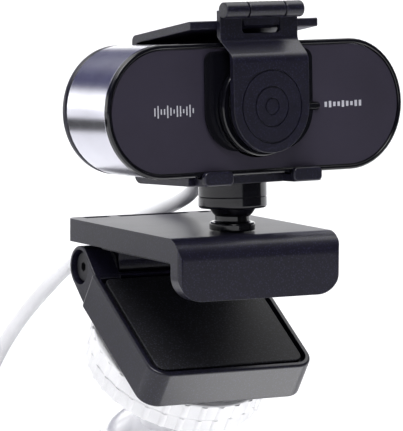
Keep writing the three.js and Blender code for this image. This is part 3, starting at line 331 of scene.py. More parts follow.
def soften(piece, width, segments=3, angle=40):
    """Rounds the edges that are sharper than the angle."""
    work = bmesh.new()
    work.from_mesh(piece.data)
    bmesh.ops.remove_doubles(work, verts=work.verts, dist=2e-4)
    bmesh.ops.dissolve_limit(work, angle_limit=math.radians(0.6), verts=work.verts, edges=work.edges)
    work.to_mesh(piece.data)
    work.free()
    modifier = piece.modifiers.new("soften", "BEVEL")
    modifier.width = width
    modifier.segments = segments
    modifier.limit_method = "ANGLE"
    modifier.angle_limit = math.radians(angle)
    modifier.miter_outer = "MITER_ARC"
    return plain(piece)


def smooth(piece, sharp=42):
    """Shades smoothly, with flat faces kept flat."""
    piece.data.shade_smooth()
    piece.data.set_sharp_from_angle(angle=math.radians(sharp))
    modifier = piece.modifiers.new("even", "WEIGHTED_NORMAL")
    modifier.keep_sharp = True
    return plain(piece)


def finish(piece, where, body, slot, replaces=(), sharp=42, look=None):
    """Shades a piece, puts it in its place, paints it and lets it ride on its body."""
    if sharp:
        smooth(piece, sharp)
    piece.data.transform(where)
    piece.data.materials.clear()
    piece.data.materials.append(material_for(look or slot))
    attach(piece, body)
    if replaces:
        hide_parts(*replaces)
    return piece


# ---------------------------------------------------------------- node trees


def put(tree, kind, values=None, links=None, **settings):
    """Adds a node, with its settings, its input values and what its inputs are linked to."""
    node = tree.nodes.new(kind)
    for key, value in settings.items():
        setattr(node, key, value)
    for key, value in (values or {}).items():
        node.inputs[key].default_value = value
    for key, source in (links or {}).items():
        tree.links.new(source, node.inputs[key])
    return node


def ramp(tree, source, stops):
    """A colour ramp of (place, grey or colour) stops."""
    node = put(tree, "ShaderNodeValToRGB", links={0: source})
    while len(node.color_ramp.elements) < len(stops):
        node.color_ramp.elements.new(0.5)
    for element, (place, value) in zip(node.color_ramp.elements, stops):
        element.position = place
        element.color = (*value, 1) if hasattr(value, "__len__") else (value, value, value, 1)
    return node.outputs["Color"]


def place_on(tree):
    return put(tree, "ShaderNodeTexCoord").outputs["Object"]


def connect(tree, socket, value):
    """Gives a socket a value, or links it to another socket."""
    if hasattr(value, "is_output"):
        tree.links.new(value, socket)
    else:
        socket.default_value = value


def maths(tree, operation, *values):
    """The outcome of a Math node; its values are numbers or sockets."""
    node = put(tree, "ShaderNodeMath", operation=operation)
    for socket, value in zip(node.inputs, values):
        connect(tree, socket, value)
    return node.outputs[0]


def shader_group(name, inputs, outputs):
    """A shader node group with float sockets; gives (group, input node, output node)."""
    group = bpy.data.node_groups.new(name, "ShaderNodeTree")
    for socket, default in inputs.items():
        made = group.interface.new_socket(name=socket, in_out="INPUT", socket_type="NodeSocketFloat")
        made.default_value = default
    for socket in outputs:
        group.interface.new_socket(name=socket, in_out="OUTPUT", socket_type="NodeSocketFloat")
    return group, group.nodes.new("NodeGroupInput"), group.nodes.new("NodeGroupOutput")


def grain_group():
    """Moulded grain: a fine relief, painted glints (small lighter spots in the colour, standing in for light
    caught on its tops), and a slow change over the whole piece.
    """
    name = "moulded grain"
    if name in bpy.data.node_groups:
        return bpy.data.node_groups[name]
    group, given, result = shader_group(name, {"Size": 0.0004}, ("Height", "Glint", "Drift"))
    place = place_on(group)
    per_metre = maths(group, "DIVIDE", 1.0, given.outputs["Size"])
    fine = put(
        group,
        "ShaderNodeTexNoise",
        {"Detail": 2.0, "Roughness": 0.6},
        {"Vector": place, "Scale": per_metre},
    )
    # Painted glints: a mask of small spots, lighter in the colour, that stand in for light caught by the grain
    glint_spots = put(
        group,
        "ShaderNodeTexVoronoi",
        {"Randomness": 1.0},
        {"Vector": place, "Scale": per_metre},
        feature="F1",
    )
    slow = put(group, "ShaderNodeTexNoise", {"Scale": 45.0, "Detail": 3.0}, {"Vector": place})
    glint = ramp(group, glint_spots.outputs["Distance"], [(0.05, 1.0), (0.42, 0.0)])
    drift = ramp(group, slow.outputs["Fac"], [(0.3, 0.0), (0.7, 1.0)])
    group.links.new(fine.outputs["Fac"], result.inputs["Height"])
    group.links.new(glint, result.inputs["Glint"])
    group.links.new(drift, result.inputs["Drift"])
    return group


def rub_group():
    """Handling marks: faint smears and fine scratches that change the gloss."""
    name = "handling marks"
    if name in bpy.data.node_groups:
        return bpy.data.node_groups[name]
    group, given, result = shader_group(name, {"Amount": 0.1}, ("Gloss change",))
    place = place_on(group)
    stretched = put(
        group,
        "ShaderNodeMapping",
        {"Scale": (60, 420, 160), "Rotation": (0.3, 0.5, 0.8)},
        {"Vector": place},
    )
    smear = put(group, "ShaderNodeTexNoise", {"Scale": 70.0, "Detail": 4.0}, {"Vector": place})
    scratch = put(
        group, "ShaderNodeTexNoise", {"Scale": 6.0, "Detail": 2.0}, {"Vector": stretched.outputs[0]}
    )
    both = maths(group, "MULTIPLY", smear.outputs["Fac"], scratch.outputs["Fac"])
    group.links.new(maths(group, "MULTIPLY", both, given.outputs["Amount"]), result.inputs["Gloss change"])
    return group


def new_material(name):
    """A material with one Principled shader; gives (material, tree, shader)."""
    material = bpy.data.materials.new(name)
    material.use_nodes = True
    tree = material.node_tree
    return material, tree, tree.nodes["Principled BSDF"]


def place_group(tree, group, **values):
    node = put(tree, "ShaderNodeGroup", node_tree=group)
    for key, value in values.items():
        node.inputs[key.replace("_", " ")].default_value = value
    return node


def bump(tree, shader, height, distance):
    node = put(tree, "ShaderNodeBump", {"Distance": distance, "Strength": 1.0}, {"Height": height})
    tree.links.new(node.outputs["Normal"], shader.inputs["Normal"])


def mixed(tree, amount, a, b):
    """Two colours mixed by a value that changes over the surface."""
    node = put(tree, "ShaderNodeMix", links={"Factor": amount}, data_type="RGBA")
    for socket, value in ((node.inputs[6], a), (node.inputs[7], b)):
        connect(tree, socket, value if hasattr(value, "is_output") else (*value, 1))
    return node.outputs[2]


def tinted(base, factor, add=(0, 0, 0)):
    return tuple(min(1.0, c * factor + a) for c, a in zip(base, add))


def grained(
    name, base, roughness, size, depth, glint=2.2, fleck_add=(0, 0, 0), spread=0.1, **shader_values
):
    """Moulded material: base colour with painted glints (lighter spots standing in for light caught by the grain),
    a grained relief and an uneven gloss.
    """
    material, tree, shader = new_material(name)
    grain = place_group(tree, grain_group(), Size=size)
    rub = place_group(tree, rub_group(), Amount=spread)
    first = mixed(tree, grain.outputs["Drift"], tinted(base, 0.86), tinted(base, 1.16))
    # Painted glints mixed into the base colour
    coloured = mixed(tree, grain.outputs["Glint"], first, tinted(base, glint, fleck_add))
    tree.links.new(coloured, shader.inputs["Base Color"])
    rough = maths(tree, "ADD", roughness - spread * 0.25, rub.outputs[0])
    tree.links.new(rough, shader.inputs["Roughness"])
    bump(tree, shader, grain.outputs["Height"], depth)
    for key, value in shader_values.items():
        shader.inputs[key.replace("_", " ")].default_value = value
    return material


def material_for(slot):
    """The material of one of the record's slots, made the first time that it is asked for."""
    name = slot + " finish"
    if name in bpy.data.materials:
        return bpy.data.materials[name]
    if slot in SPECIAL_FINISHES:
        return SPECIAL_FINISHES[slot](name)
    look = bpy.context.scene.webcam_finishes
    # colour, roughness, grain as a share of the setting, relief in microns, brightness of the painted glints
    table = {
        "black_plastic": (
            look.clip_colour,
            0.33,
            1.6,
            8,
            3.0,
            dict(fleck_add=(0.008, 0.008, 0.022), Specular_IOR_Level=0.45),
        ),
        "gloss_black": (look.polished_colour, 0.13, 3, 4, 1.2, dict(spread=0.08)),
        "panel": (look.panel_colour, 0.55, 0.8, 6, 1.35, dict(Specular_IOR_Level=0.25)),
        "shell": (look.shell_colour, 0.2, 1.5, 3, 1.1, dict(Metallic=1.0)),
        "grip_rubber": (look.pad_colour, 0.62, 1.7, 50, 9.0, dict(fleck_add=(0.01, 0.01, 0.018))),
        "nylon": ((0.03, 0.03, 0.034), 0.4, 2, 10, 1.2),
        "stand_plastic": (look.stand_colour, 0.42, 1.4, 10, 1.04),
        "stand_rubber": (tinted(look.stand_colour, 0.72), 0.75, 1.6, 20, 1.1),
        "ball_metal": ((0.8, 0.8, 0.82), 0.2, 2, 5, 1.04, dict(Metallic=0.35)),
        "cable_grey": (look.cord_colour, 0.45, 1.6, 12, 1.05),
        "steel": ((0.3, 0.3, 0.32), 0.34, 2, 8, 1.15, dict(Metallic=1.0)),
        "plug_metal": ((0.55, 0.56, 0.58), 0.26, 3, 5, 1.1, dict(Metallic=1.0)),
        "brass": ((0.6, 0.42, 0.16), 0.3, 2, 8, 1.15, dict(Metallic=1.0)),
        "board": ((0.008, 0.07, 0.028), 0.38, 3, 10, 1.5),
        "ink": ((0.42, 0.42, 0.46), 0.5, 1, 4, 1.0),
        "dark_steel": ((0.02, 0.02, 0.024), 0.4, 2, 8, 1.3, dict(Metallic=0.6)),
        "light_pipe": ((0.004, 0.004, 0.006), 0.15, 3, 3, 1.2),
    }
    base, roughness, grain, relief, glint, *rest = table[slot]
    values = rest[0] if rest else {}
    return grained(name, base, roughness, grain * look.grain_size, relief * MICRON, glint, **values)


def woven_tape(name):
    """Hook and loop tape: a woven ground under a fine nap."""
    material, tree, shader = new_material(name)
    place = place_on(tree)
    waves = [
        put(
            tree,
            "ShaderNodeTexWave",
            {"Scale": 420.0, "Distortion": 1.2},
            {"Vector": place},
            bands_direction=way,
        )
        for way in ("X", "Z")
    ]
    weave = maths(tree, "MULTIPLY", *(wave.outputs["Fac"] for wave in waves))
    nap = put(tree, "ShaderNodeTexNoise", {"Scale": 2600.0, "Detail": 3.0}, {"Vector": place})
    tree.links.new(
        mixed(tree, nap.outputs["Fac"], (0.012, 0.012, 0.015), (0.06, 0.06, 0.068)),
        shader.inputs["Base Color"],
    )
    bump(tree, shader, maths(tree, "ADD", weave, nap.outputs["Fac"]), 0.00025)
    shader.inputs["Roughness"].default_value = 0.9
    shader.inputs["Sheen Weight"].default_value = 0.4
    return material


def coated_glass(name):
    """Lens glass with a bluish coating."""
    material, tree, shader = new_material(name)
    place = place_on(tree)
    haze = put(tree, "ShaderNodeTexNoise", {"Scale": 300.0, "Detail": 2.0}, {"Vector": place})
    tree.links.new(
        mixed(tree, haze.outputs["Fac"], (0.01, 0.014, 0.03), (0.016, 0.02, 0.045)),
        shader.inputs["Base Color"],
    )
    shader.inputs["Roughness"].default_value = 0.03
    shader.inputs["Coat Weight"].default_value = 1.0
    shader.inputs["Coat Roughness"].default_value = 0.02
    shader.inputs["Coat Tint"].default_value = (0.6, 0.7, 1.0, 1)
    return material


SPECIAL_FINISHES = {"tie": woven_tape, "lens_glass": coated_glass}


# ---------------------------------------------------------------- camera, stage and light

FLOOR_RADIUS = 12  # in metres


class WEBCAM_OT_stage(bpy.types.Operator):
    """Adds the camera, the floor and the light"""

    bl_idname = "webcam.stage"
    bl_label = "Camera, floor and light"

    def execute(self, context):
        look = context.scene.webcam_stage
        add_camera(context.scene)
        edge = [(x, y, 0) for x, y in circle(FLOOR_RADIUS)]
        floor = new_piece("floor", edge, [tuple(range(len(edge)))])
        material, tree, shader = new_material("floor")
        place = place_on(tree)
        cloud = put(tree, "ShaderNodeTexNoise", {"Scale": 3.0, "Detail": 2.0}, {"Vector": place})
        pale = tuple(look.floor_colour)
        tree.links.new(
            mixed(tree, cloud.outputs["Fac"], tinted(pale, 0.985), pale), shader.inputs["Base Color"]
        )
        shader.inputs["Roughness"].default_value = 0.6
        floor.data.materials.append(material)
        add_room(context.scene, look.room_strength)
        add_card("front flag", (0.05, -0.75, -0.02), (1.4, 0.5, 0), (0, 0, 0.9), 0.03)
        add_card("low flag", (-0.75, 0.38, 0.002), (0.8, 0, 0), (0, 0.5, 0), 0.02)
        add_card("top light", (0.1, -0.2, 0.7), (0.5, 0, 0), (0, 0.4, 0), look.card_strength * 0.5)
        add_card("under light", (0.03, -0.1, 0.002), (0.1, 0, 0), (0, 0.08, 0), look.card_strength)
        key = bpy.data.lights.new("key", "SUN")
        key.energy = look.key_strength
        key.angle = math.radians(38)
        lamp = bpy.data.objects.new("key", key)
        lamp.rotation_euler = (math.radians(24), math.radians(-16), 0)
        context.scene.collection.objects.link(lamp)
        return {"FINISHED"}


def add_camera(scene):
    """The camera, far off with a long lens, a little above the webcam and to the left of its front."""
    target = joint_place("clip_open") + Vector((0, -40.5, 22))
    azimuth, elevation, roll = math.radians(-29.93), math.radians(5.6), math.radians(0.45)
    distance, focal = 1009.6, 337.3
    aside, below = math.radians(0.5084), math.radians(0.3371)
    back = Vector(
        (
            math.sin(azimuth) * math.cos(elevation),
            -math.cos(azimuth) * math.cos(elevation),
            math.sin(elevation),
        )
    )
    right = Vector((math.cos(azimuth), math.sin(azimuth), 0))
    turn = Matrix((right, back.cross(right), back)).transposed()
    turn = turn @ Matrix.Rotation(roll, 3, "Z") @ Matrix.Rotation(aside, 3, "Y") @ Matrix.Rotation(
        -below, 3, "X"
    )
    camera = bpy.data.cameras.new("camera")
    camera.lens = focal
    camera.sensor_width = 36
    camera.clip_start, camera.clip_end = 0.05, 60
    holder = bpy.data.objects.new("camera", camera)
    holder.matrix_world = Matrix.Translation((target + back * distance) * MM) @ turn.to_4x4()
    scene.collection.objects.link(holder)
    scene.camera = holder


def add_room(scene, strength):
    """A studio all round: bright near the horizon and overhead, dark between them, and dim in front."""
    world = bpy.data.worlds.new("studio")
    scene.world = world
    world.use_nodes = True
    tree = world.node_tree
    ground = tree.nodes["Background"]
    way = put(tree, "ShaderNodeTexCoord").outputs["Generated"]
    parts = put(tree, "ShaderNodeSeparateXYZ", links={0: way})
    height = ramp(
        tree,
        maths(tree, "MULTIPLY_ADD", parts.outputs["Z"], 0.5, 0.5),
        [
            (0.0, 0.9),
            (0.5, 1.0),
            (0.59, 0.8),
            (0.64, (0.03, 0.03, 0.07)),
            (0.72, (0.03, 0.03, 0.07)),
            (0.78, 0.8),
        ],
    )
    behind = ramp(
        tree,
        maths(tree, "MULTIPLY_ADD", parts.outputs["Y"], 0.5, 0.5),
        [(0.3, (0.08, 0.08, 0.1)), (0.55, (0.3, 0.3, 0.33)), (0.78, 1.0)],
    )
    colour_node = put(tree, "ShaderNodeMix", {"Factor": 1.0}, data_type="RGBA", blend_type="MULTIPLY")
    tree.links.new(height, colour_node.inputs[6])
    tree.links.new(behind, colour_node.inputs[7])
    tree.links.new(colour_node.outputs[2], ground.inputs["Color"])
    ground.inputs["Strength"].default_value = strength
    scene.view_settings.view_transform = "Standard"


def add_card(name, corner, across, up, brightness):
    """A studio card that only reflections see: black, or lit."""
    corner, across, up = Vector(corner), Vector(across), Vector(up)
    card = new_piece(name, [corner, corner + across, corner + across + up, corner + up], [(0, 1, 2, 3)])
    material, tree, shader = new_material(name)
    tree.nodes.remove(shader)
    glow = put(tree, "ShaderNodeEmission", {"Color": (1, 1, 1, 1), "Strength": brightness})
    tree.links.new(glow.outputs[0], tree.nodes["Material Output"].inputs["Surface"])
    card.data.materials.append(material)
    for ray in ("camera", "diffuse", "shadow", "transmission", "volume_scatter"):
        setattr(card, f"visible_{ray}", False)


# ---------------------------------------------------------------- what repeats, with Geometry Nodes


def node_group(name, kinds):
    """A Geometry Nodes group with inputs of these kinds; gives (group, input node, output node)."""
    group = bpy.data.node_groups.new(name, "GeometryNodeTree")
    group.is_modifier = True
    group.interface.new_socket(name="Geometry", in_out="INPUT", socket_type="NodeSocketGeometry")
    for socket, kind in kinds.items():
        group.interface.new_socket(name=socket, in_out="INPUT", socket_type="NodeSocket" + kind)
    group.interface.new_socket(name="Geometry", in_out="OUTPUT", socket_type="NodeSocketGeometry")
    return group, group.nodes.new("NodeGroupInput"), group.nodes.new("NodeGroupOutput")


def end_group(group, given, result, geometry):
    """Makes the instances real, joins them to what came in, and paints all of it."""
    real = put(group, "GeometryNodeRealizeInstances", links={0: geometry})
    both = put(group, "GeometryNodeJoinGeometry")
    group.links.new(real.outputs[0], both.inputs[0])
    group.links.new(given.outputs["Geometry"], both.inputs[0])
    painted = put(
        group, "GeometryNodeSetMaterial", links={0: both.outputs[0], "Material": given.outputs["Material"]}
    )
    group.links.new(painted.outputs[0], result.inputs[0])


def ribs_group():
    """Upright round ribs, evenly round a circle."""
    name = "ring of ribs"
    if name in bpy.data.node_groups:
        return bpy.data.node_groups[name]
    kinds = {
        "Count": "Int",
        "Radius": "Float",
        "Rib": "Float",
        "Low": "Float",
        "High": "Float",
        "Material": "Material",
    }
    group, given, result = node_group(name, kinds)
    high, low = given.outputs["High"], given.outputs["Low"]
    span = maths(group, "SUBTRACT", high, low)
    middle = maths(group, "MULTIPLY", maths(group, "ADD", high, low), 0.5)
    lift = put(group, "ShaderNodeCombineXYZ", links={2: middle})
    circle_points = put(
        group, "GeometryNodeMeshCircle", links={
            "Vertices": given.outputs["Count"], "Radius": given.outputs["Radius"]
        }
    )
    rib = put(
        group,
        "GeometryNodeMeshCylinder",
        {"Vertices": 20},
        {"Radius": given.outputs["Rib"], "Depth": span},
    )
    lifted = put(group, "GeometryNodeTransform", links={0: rib.outputs[0], "Translation": lift.outputs[0]})
    copies = put(
        group, "GeometryNodeInstanceOnPoints", links={
            0: circle_points.outputs[0], "Instance": lifted.outputs[0]
        }
    )
    end_group(group, given, result, copies.outputs[0])
    return group


def row_of_points(group, given):
    """Points in a row along X."""
    step = put(group, "ShaderNodeCombineXYZ", links={0: given.outputs["Pitch"]})
    links = {
        "Count": given.outputs["Count"], "Start Location": given.outputs["Start"], "Offset": step.outputs[0]
    }
    return put(group, "GeometryNodeMeshLine", links=links).outputs[0]


def bars_group():
    """A row of thin bars whose heights rise and fall."""
    name = "row of bars"
    if name in bpy.data.node_groups:
        return bpy.data.node_groups[name]
    kinds = {
        "Count": "Int",
        "Pitch": "Float",
        "Bar": "Vector",
        "Start": "Vector",
        "Swing": "Float",
        "Material": "Material",
    }
    group, given, result = node_group(name, kinds)
    line = row_of_points(group, given)
    bar = put(group, "GeometryNodeMeshCube", links={"Size": given.outputs["Bar"]})
    index = put(group, "GeometryNodeInputIndex")
    wave = maths(group, "SINE", maths(group, "MULTIPLY", index.outputs[0], 1.9))
    swing = maths(group, "MULTIPLY_ADD", wave, given.outputs["Swing"], 1.0)
    scale = put(group, "ShaderNodeCombineXYZ", {0: 1.0, 1: 1.0}, {2: swing})
    copies = put(
        group,
        "GeometryNodeInstanceOnPoints",
        links={0: line, "Instance": bar.outputs[0], "Scale": scale.outputs[0]},
    )
    end_group(group, given, result, copies.outputs[0])
    return group


def screws_group():
    """Cross-head screw heads in a row along X, facing back."""
    name = "row of screws"
    if name in bpy.data.node_groups:
        return bpy.data.node_groups[name]
    kinds = {"Count": "Int", "Pitch": "Float", "Head": "Float", "Start": "Vector", "Material": "Material"}
    group, given, result = node_group(name, kinds)
    line = row_of_points(group, given)
    head = put(
        group, "GeometryNodeMeshCylinder", {"Vertices": 48, "Depth": 1.0}, {"Radius": given.outputs["Head"]}
    )
    slots = [
        put(group, "GeometryNodeMeshCube", {"Size": size}).outputs[0] for size in (
            (2.6, 0.5, 1.0), (0.5, 2.6, 1.0)
        )
    ]
    raised = [
        put(group, "GeometryNodeTransform", {"Translation": (0, 0, 0.55)}, {0: slot}).outputs[
            0
        ] for slot in slots
    ]
    cross = put(
        group, "GeometryNodeMeshBoolean", links={0: head.outputs[0], 1: raised[0]}, operation="DIFFERENCE"
    )
    cross = put(
        group, "GeometryNodeMeshBoolean", links={0: cross.outputs[0], 1: raised[1]}, operation="DIFFERENCE"
    )
    turned_back = put(
        group, "GeometryNodeTransform", {"Rotation": (math.radians(-90), 0, 0)}, {0: cross.outputs[0]}
    )
    copies = put(group, "GeometryNodeInstanceOnPoints", links={0: line, "Instance": turned_back.outputs[0]})
    end_group(group, given, result, copies.outputs[0])
    return group


def with_nodes(piece, group, **values):
    """Runs a node group on a piece and keeps the result as its mesh."""
    modifier = piece.modifiers.new(group.name, "NODES")
    modifier.node_group = group
    for item in group.interface.items_tree:
        if item.item_type == "SOCKET" and item.in_out == "INPUT" and item.name in values:
            modifier[item.identifier] = values[item.name]
    return plain(piece)


def empty_piece(name):
    return new_piece(name, [], [])


# ---------------------------------------------------------------- webcam body, in the face's frame

FACE_WIDTH, FACE_HEIGHT, BODY_DEPTH = 90, 33, 24.1
RIM, BEZEL_DEPTH, PANEL_RECESS, PANEL_THICKNESS = 1.1, 1.6, 0.3, 1.3
SHELL_FRONT, SHELL_REAR = BEZEL_DEPTH + GAP, BODY_DEPTH - 1.8 - GAP
SHELL_WIDTH, SHELL_HEIGHT, SHELL_NARROWING, SHELL_LOWERING = 89.2, 32.6, 4.1, 0.5
LENS_Z, HOUSING_RADIUS, HOUSING_FRONT = 0.5, 12.4, -2.3
LENS_CENTRE = (0, 0, LENS_Z)
SCREW_X = 33
RELIEF_CENTRE = (14.5, 0, -7)
LIGHT_X, LIGHT_Z, LIGHT_WIDTH, LIGHT_HEIGHT = 16.6, -0.1, 4.4, 1.4


def stadium_loft(name, section, size_at):
    """A stadium ring; the section is a closed row of (inset, depth)."""
    rings = []
    for inset, depth in section:
        width, height = size_at(depth)
        rings.append([(x, depth, z) for x, z in stadium(width - 2 * inset, height - 2 * inset)])
    return loft(name, rings, ring_closes=True)


def shell_size(depth):
    along = (depth - SHELL_FRONT) / (SHELL_REAR - SHELL_FRONT)
    return SHELL_WIDTH - SHELL_NARROWING * along, SHELL_HEIGHT - SHELL_LOWERING * along


def front_holes():
    """Cutters for the lens and the light."""
    light = [
        (LIGHT_X + x, LIGHT_Z + z) for x, z in stadium(LIGHT_WIDTH + 2 * GAP, LIGHT_HEIGHT + 2 * GAP, 12)
    ]
    return rod("lens hole", HOUSING_RADIUS + GAP, -5, 8, "y", LENS_CENTRE, 128), prism(
        "light hole", light, -5, 8, "y"
    )


class WEBCAM_OT_body(bpy.types.Operator):
    """Adds the bezel, the panel with its marks, the shell and the rear cover"""

    bl_idname = "webcam.body"
    bl_label = "Webcam body"

    def execute(self, context):
        section = eased([(0, 0), (RIM, 0), (RIM, BEZEL_DEPTH), (0, BEZEL_DEPTH)], [0.55, 0.25, 0, 0.1], 4)
        bezel = stadium_loft("bezel", section, lambda depth: (FACE_WIDTH, FACE_HEIGHT))
        finish(bezel, FACE, "webcam", "gloss_black", ["front_bezel"])

        inset = RIM + GAP
        outline = stadium(FACE_WIDTH - 2 * inset, FACE_HEIGHT - 2 * inset, 40)
        panel = prism("panel", outline, PANEL_RECESS, PANEL_RECESS + PANEL_THICKNESS, "y")
        soften(cut(panel, *front_holes()), 0.12, 2)
        finish(panel, FACE, "webcam", "panel", ["front_panel"])
        self.add_marks()

        section = eased(
            [(0, SHELL_FRONT), (0, SHELL_REAR), (1.7, SHELL_REAR), (1.7, SHELL_FRONT)], [0.5, 0.4, 0, 0], 4
        )
        shell = stadium_loft("shell", section, shell_size)
        finish(shell, FACE, "webcam", "shell", ["body_shell"])

        outline = stadium(*shell_size(SHELL_REAR), 40)
        cover = soften(prism("back_cover", outline, SHELL_REAR + GAP, BODY_DEPTH, "y"), 0.6, 4)
        holes = [rod("hole", 2.6, 20, 26, "y", (side * SCREW_X, 0, 0)) for side in (-1, 1)]
        holes.append(rod("hole", 3.5, 20, 26, "y", RELIEF_CENTRE))
        vents = [
            prism("vent", [(x + a, b + 2) for a, b in stadium(6.5, 0.9, 8)], BODY_DEPTH - 0.5, 26, "y")
            for x in (-27, 26)
        ]
        cut(cover, *holes, *vents)
        finish(cover, FACE, "webcam", "black_plastic", ["rear_cover"])
        screws = with_nodes(
            empty_piece("rear_screws"),
            screws_group(),
            Count=2,
            Pitch=2.0 * SCREW_X,
            Head=2.25,
            Start=(-SCREW_X, BODY_DEPTH - 0.65, 0),
            Material=material_for("steel"),
        )
        finish(screws, FACE, "webcam", "steel", ["rear_screw_left", "rear_screw_right"])
        return {"FINISHED"}

    def add_marks(self):
        """Printed marks on the panel: a sound wave on the left, and a scale on the right."""
        depth = PANEL_RECESS - 0.02
        rows = {
            "wave_mark": dict(
                Count=13, Pitch=0.95, Bar=(0.34, 0.05, 2.0), Start=(-31.0, depth, 0.1), Swing=0.55
            ),
            "scale_mark": dict(
                Count=9, Pitch=1.35, Bar=(0.75, 0.05, 1.3), Start=(21.0, depth, 0.1), Swing=0.25
            ),
        }
        for name, values in rows.items():
            marks = with_nodes(empty_piece(name), bars_group(), Material=material_for("ink"), **values)
            finish(marks, FACE, "webcam", "ink", sharp=0)


class WEBCAM_OT_lens(bpy.types.Operator):
    """Adds the lens with its surround, and the light"""

    bl_idname = "webcam.lens"
    bl_label = "Lens and light"

    def execute(self, context):
        outline = rectangle(-16.4, -10.5, 16.4, 14.4, [10, 10, 2.5, 2.5], 16)
        surround = soften(cut(prism("surround", outline, -0.5, 0, "y"), *front_holes()), 0.15, 3)
        finish(surround, FACE, "webcam", "gloss_black", ["lens_surround"])

        flange_front, flange_back, flange = 1.9, 3.5, HOUSING_RADIUS + 1.6
        baffles = [
            (10.8, HOUSING_FRONT),
            (10.3, -2),
            (10.3, -1.5),
            (9.5, -1.2),
            (9.5, -0.7),
            (8.6, -0.4),
            (8.6, 0.1),
        ]
        profile = [
            (7.3, 0.6),
            (7.3, flange_back),
            (flange, flange_back),
            (flange, flange_front),
            (HOUSING_RADIUS, flange_front),
            *arc(0.5, 0, -90, 5, (HOUSING_RADIUS - 0.5, HOUSING_FRONT + 0.5)),
            *baffles,
        ]
        housing = turned("housing", profile, "y", 128, LENS_CENTRE)
        finish(housing, FACE, "webcam", "gloss_black", ["lens_housing"], 30)

        profile = [
            (5.3, -0.4), (5.3, 2.6), (3, 3.6), (3, 11), (7, 11), (7, 0), *arc(0.4, 0, -90, 4, (6.6, 0))
        ]
        barrel = turned("barrel", profile, "y", 96, LENS_CENTRE)
        finish(barrel, FACE, "webcam", "black_plastic", ["lens_barrel"], 30)

        dome = [
            (5 * math.cos(math.radians(a)), 1.2 - 1.7 * math.sin(math.radians(a))) for a in range(0, 91, 6)
        ]
        glass = turned("glass", [(0, 2.3), (5, 2.3), *dome[:-1], (0, -0.5)], "y", 96, LENS_CENTRE)
        finish(glass, FACE, "webcam", "lens_glass", ["front_lens"], 50)

        outline = [(LIGHT_X + x, LIGHT_Z + z) for x, z in stadium(LIGHT_WIDTH, LIGHT_HEIGHT, 16)]
        light = soften(prism("light", outline, -0.5, 4.2, "y"), 0.2, 3)
        finish(light, FACE, "webcam", "light_pipe", ["indicator_light"])
        return {"FINISHED"}


# ---------------------------------------------------------------- cradle, shutter and ball joint

PLATE_TOP, PLATE_BOTTOM = -16.6, -18.75
WALL_FRONT, WALL_BACK = BODY_DEPTH + GAP, BODY_DEPTH + GAP + 2.3
ARM_FRONT_BOTTOM, ARM_FRONT_TOP, ARM_REAR_BOTTOM = 19.8, 21.95, 16.4
AXIS_Y, AXIS_Z, BARREL_RADIUS, PIN_HOLE = -2.05, 24.4, 2.05, 1.2
KNUCKLE_LOW, KNUCKLE_HIGH = -5.0, 6.4
CUP_RADIUS, CUP_BOTTOM, CUP_TOP, CAVITY = 8.6, -2.7, 5.46, 7.7
BALL_RADIUS, NECK_RADIUS, BALL_HEIGHT = 6.4, 4.4, 8.5


class WEBCAM_OT_cradle(bpy.types.Operator):
    """Adds the cradle with its hooks and its cup"""

    bl_idname = "webcam.cradle"
    bl_label = "Cradle"

    def execute(self, context):
        edge = context.scene.webcam_sizes.edge / MM
        profile = eased(
            [
                (3, PLATE_BOTTOM),
                (WALL_BACK, PLATE_BOTTOM),
                (WALL_BACK, ARM_REAR_BOTTOM + 1.75),
                (1.06, ARM_FRONT_TOP),
                (1.06, ARM_FRONT_BOTTOM),
                (WALL_FRONT, ARM_REAR_BOTTOM),
                (WALL_FRONT, PLATE_TOP),
                (3, PLATE_TOP),
            ],
            [0, 2.4, 1.6, 0.4, 0.4, 0.2, 0.2, 0],
        )
        strip = soften(prism("cradle", profile, -19.5, 19.5, "x"), edge, 3)
        for x in (-13.6, 13.6):
            low, high = x - 4.4, x + 4.4
            foot = soften(block("foot", (low + 0.2, -1.6, PLATE_BOTTOM), (high - 0.2, 4, -16.8)), 0.3, 2)
            lip = prism(
                "lip", rectangle(low, PLATE_BOTTOM, high, -15.2, [1.2, 1.2, 1.2, 1.2], 6), -2, -0.4, "y"
            )
            join(strip, foot, soften(lip, 0.5, 4))
        tongue = [(-1.05, 20.6), (2, 19.65), (2, 21.8), (1.06, ARM_FRONT_TOP), (-1.05, 23.4)]
        low, high = KNUCKLE_LOW + GAP, KNUCKLE_HIGH - GAP
        knuckle = rod("knuckle", BARREL_RADIUS, low, high, "x", (0, AXIS_Y, AXIS_Z), 64, 0.25)
        join(strip, prism("tongue", tongue, low, high, "x"), knuckle)
        socket = (0, BALL_BACK, -BALL_DROP)
        sphere = [(0, -CAVITY), *arc(CAVITY, -80, 80, 24), (0, CAVITY)]
        cut(
            strip,
            turned("cavity", sphere, "z", 96, socket),
            rod("pin hole", PIN_HOLE, -20, 20, "x", (0, AXIS_Y, AXIS_Z), 32),
            rod("cord hole", 4.5, 20, 30, "y", RELIEF_CENTRE, 48),
        )
        finish(strip, FACE, "webcam", "black_plastic", ["cradle_bracket"])

        low, high = (math.degrees(math.asin(z / CAVITY)) for z in (CUP_BOTTOM, CUP_TOP))
        profile = [
            (CUP_RADIUS, CUP_TOP),
            (CUP_RADIUS, 0.35),
            (CUP_RADIUS - 0.12, 0.2),
            (CUP_RADIUS, 0.05),
            (CUP_RADIUS, CUP_BOTTOM + 0.8),
            *arc(0.8, 0, -90, 6, (CUP_RADIUS - 0.8, CUP_BOTTOM + 0.8)),
            *arc(CAVITY, low, high, 18),
        ]
        cup = turned("cup", profile, "z", 128, socket)
        finish(cup, FACE, "webcam", "gloss_black", sharp=30)
        return {"FINISHED"}


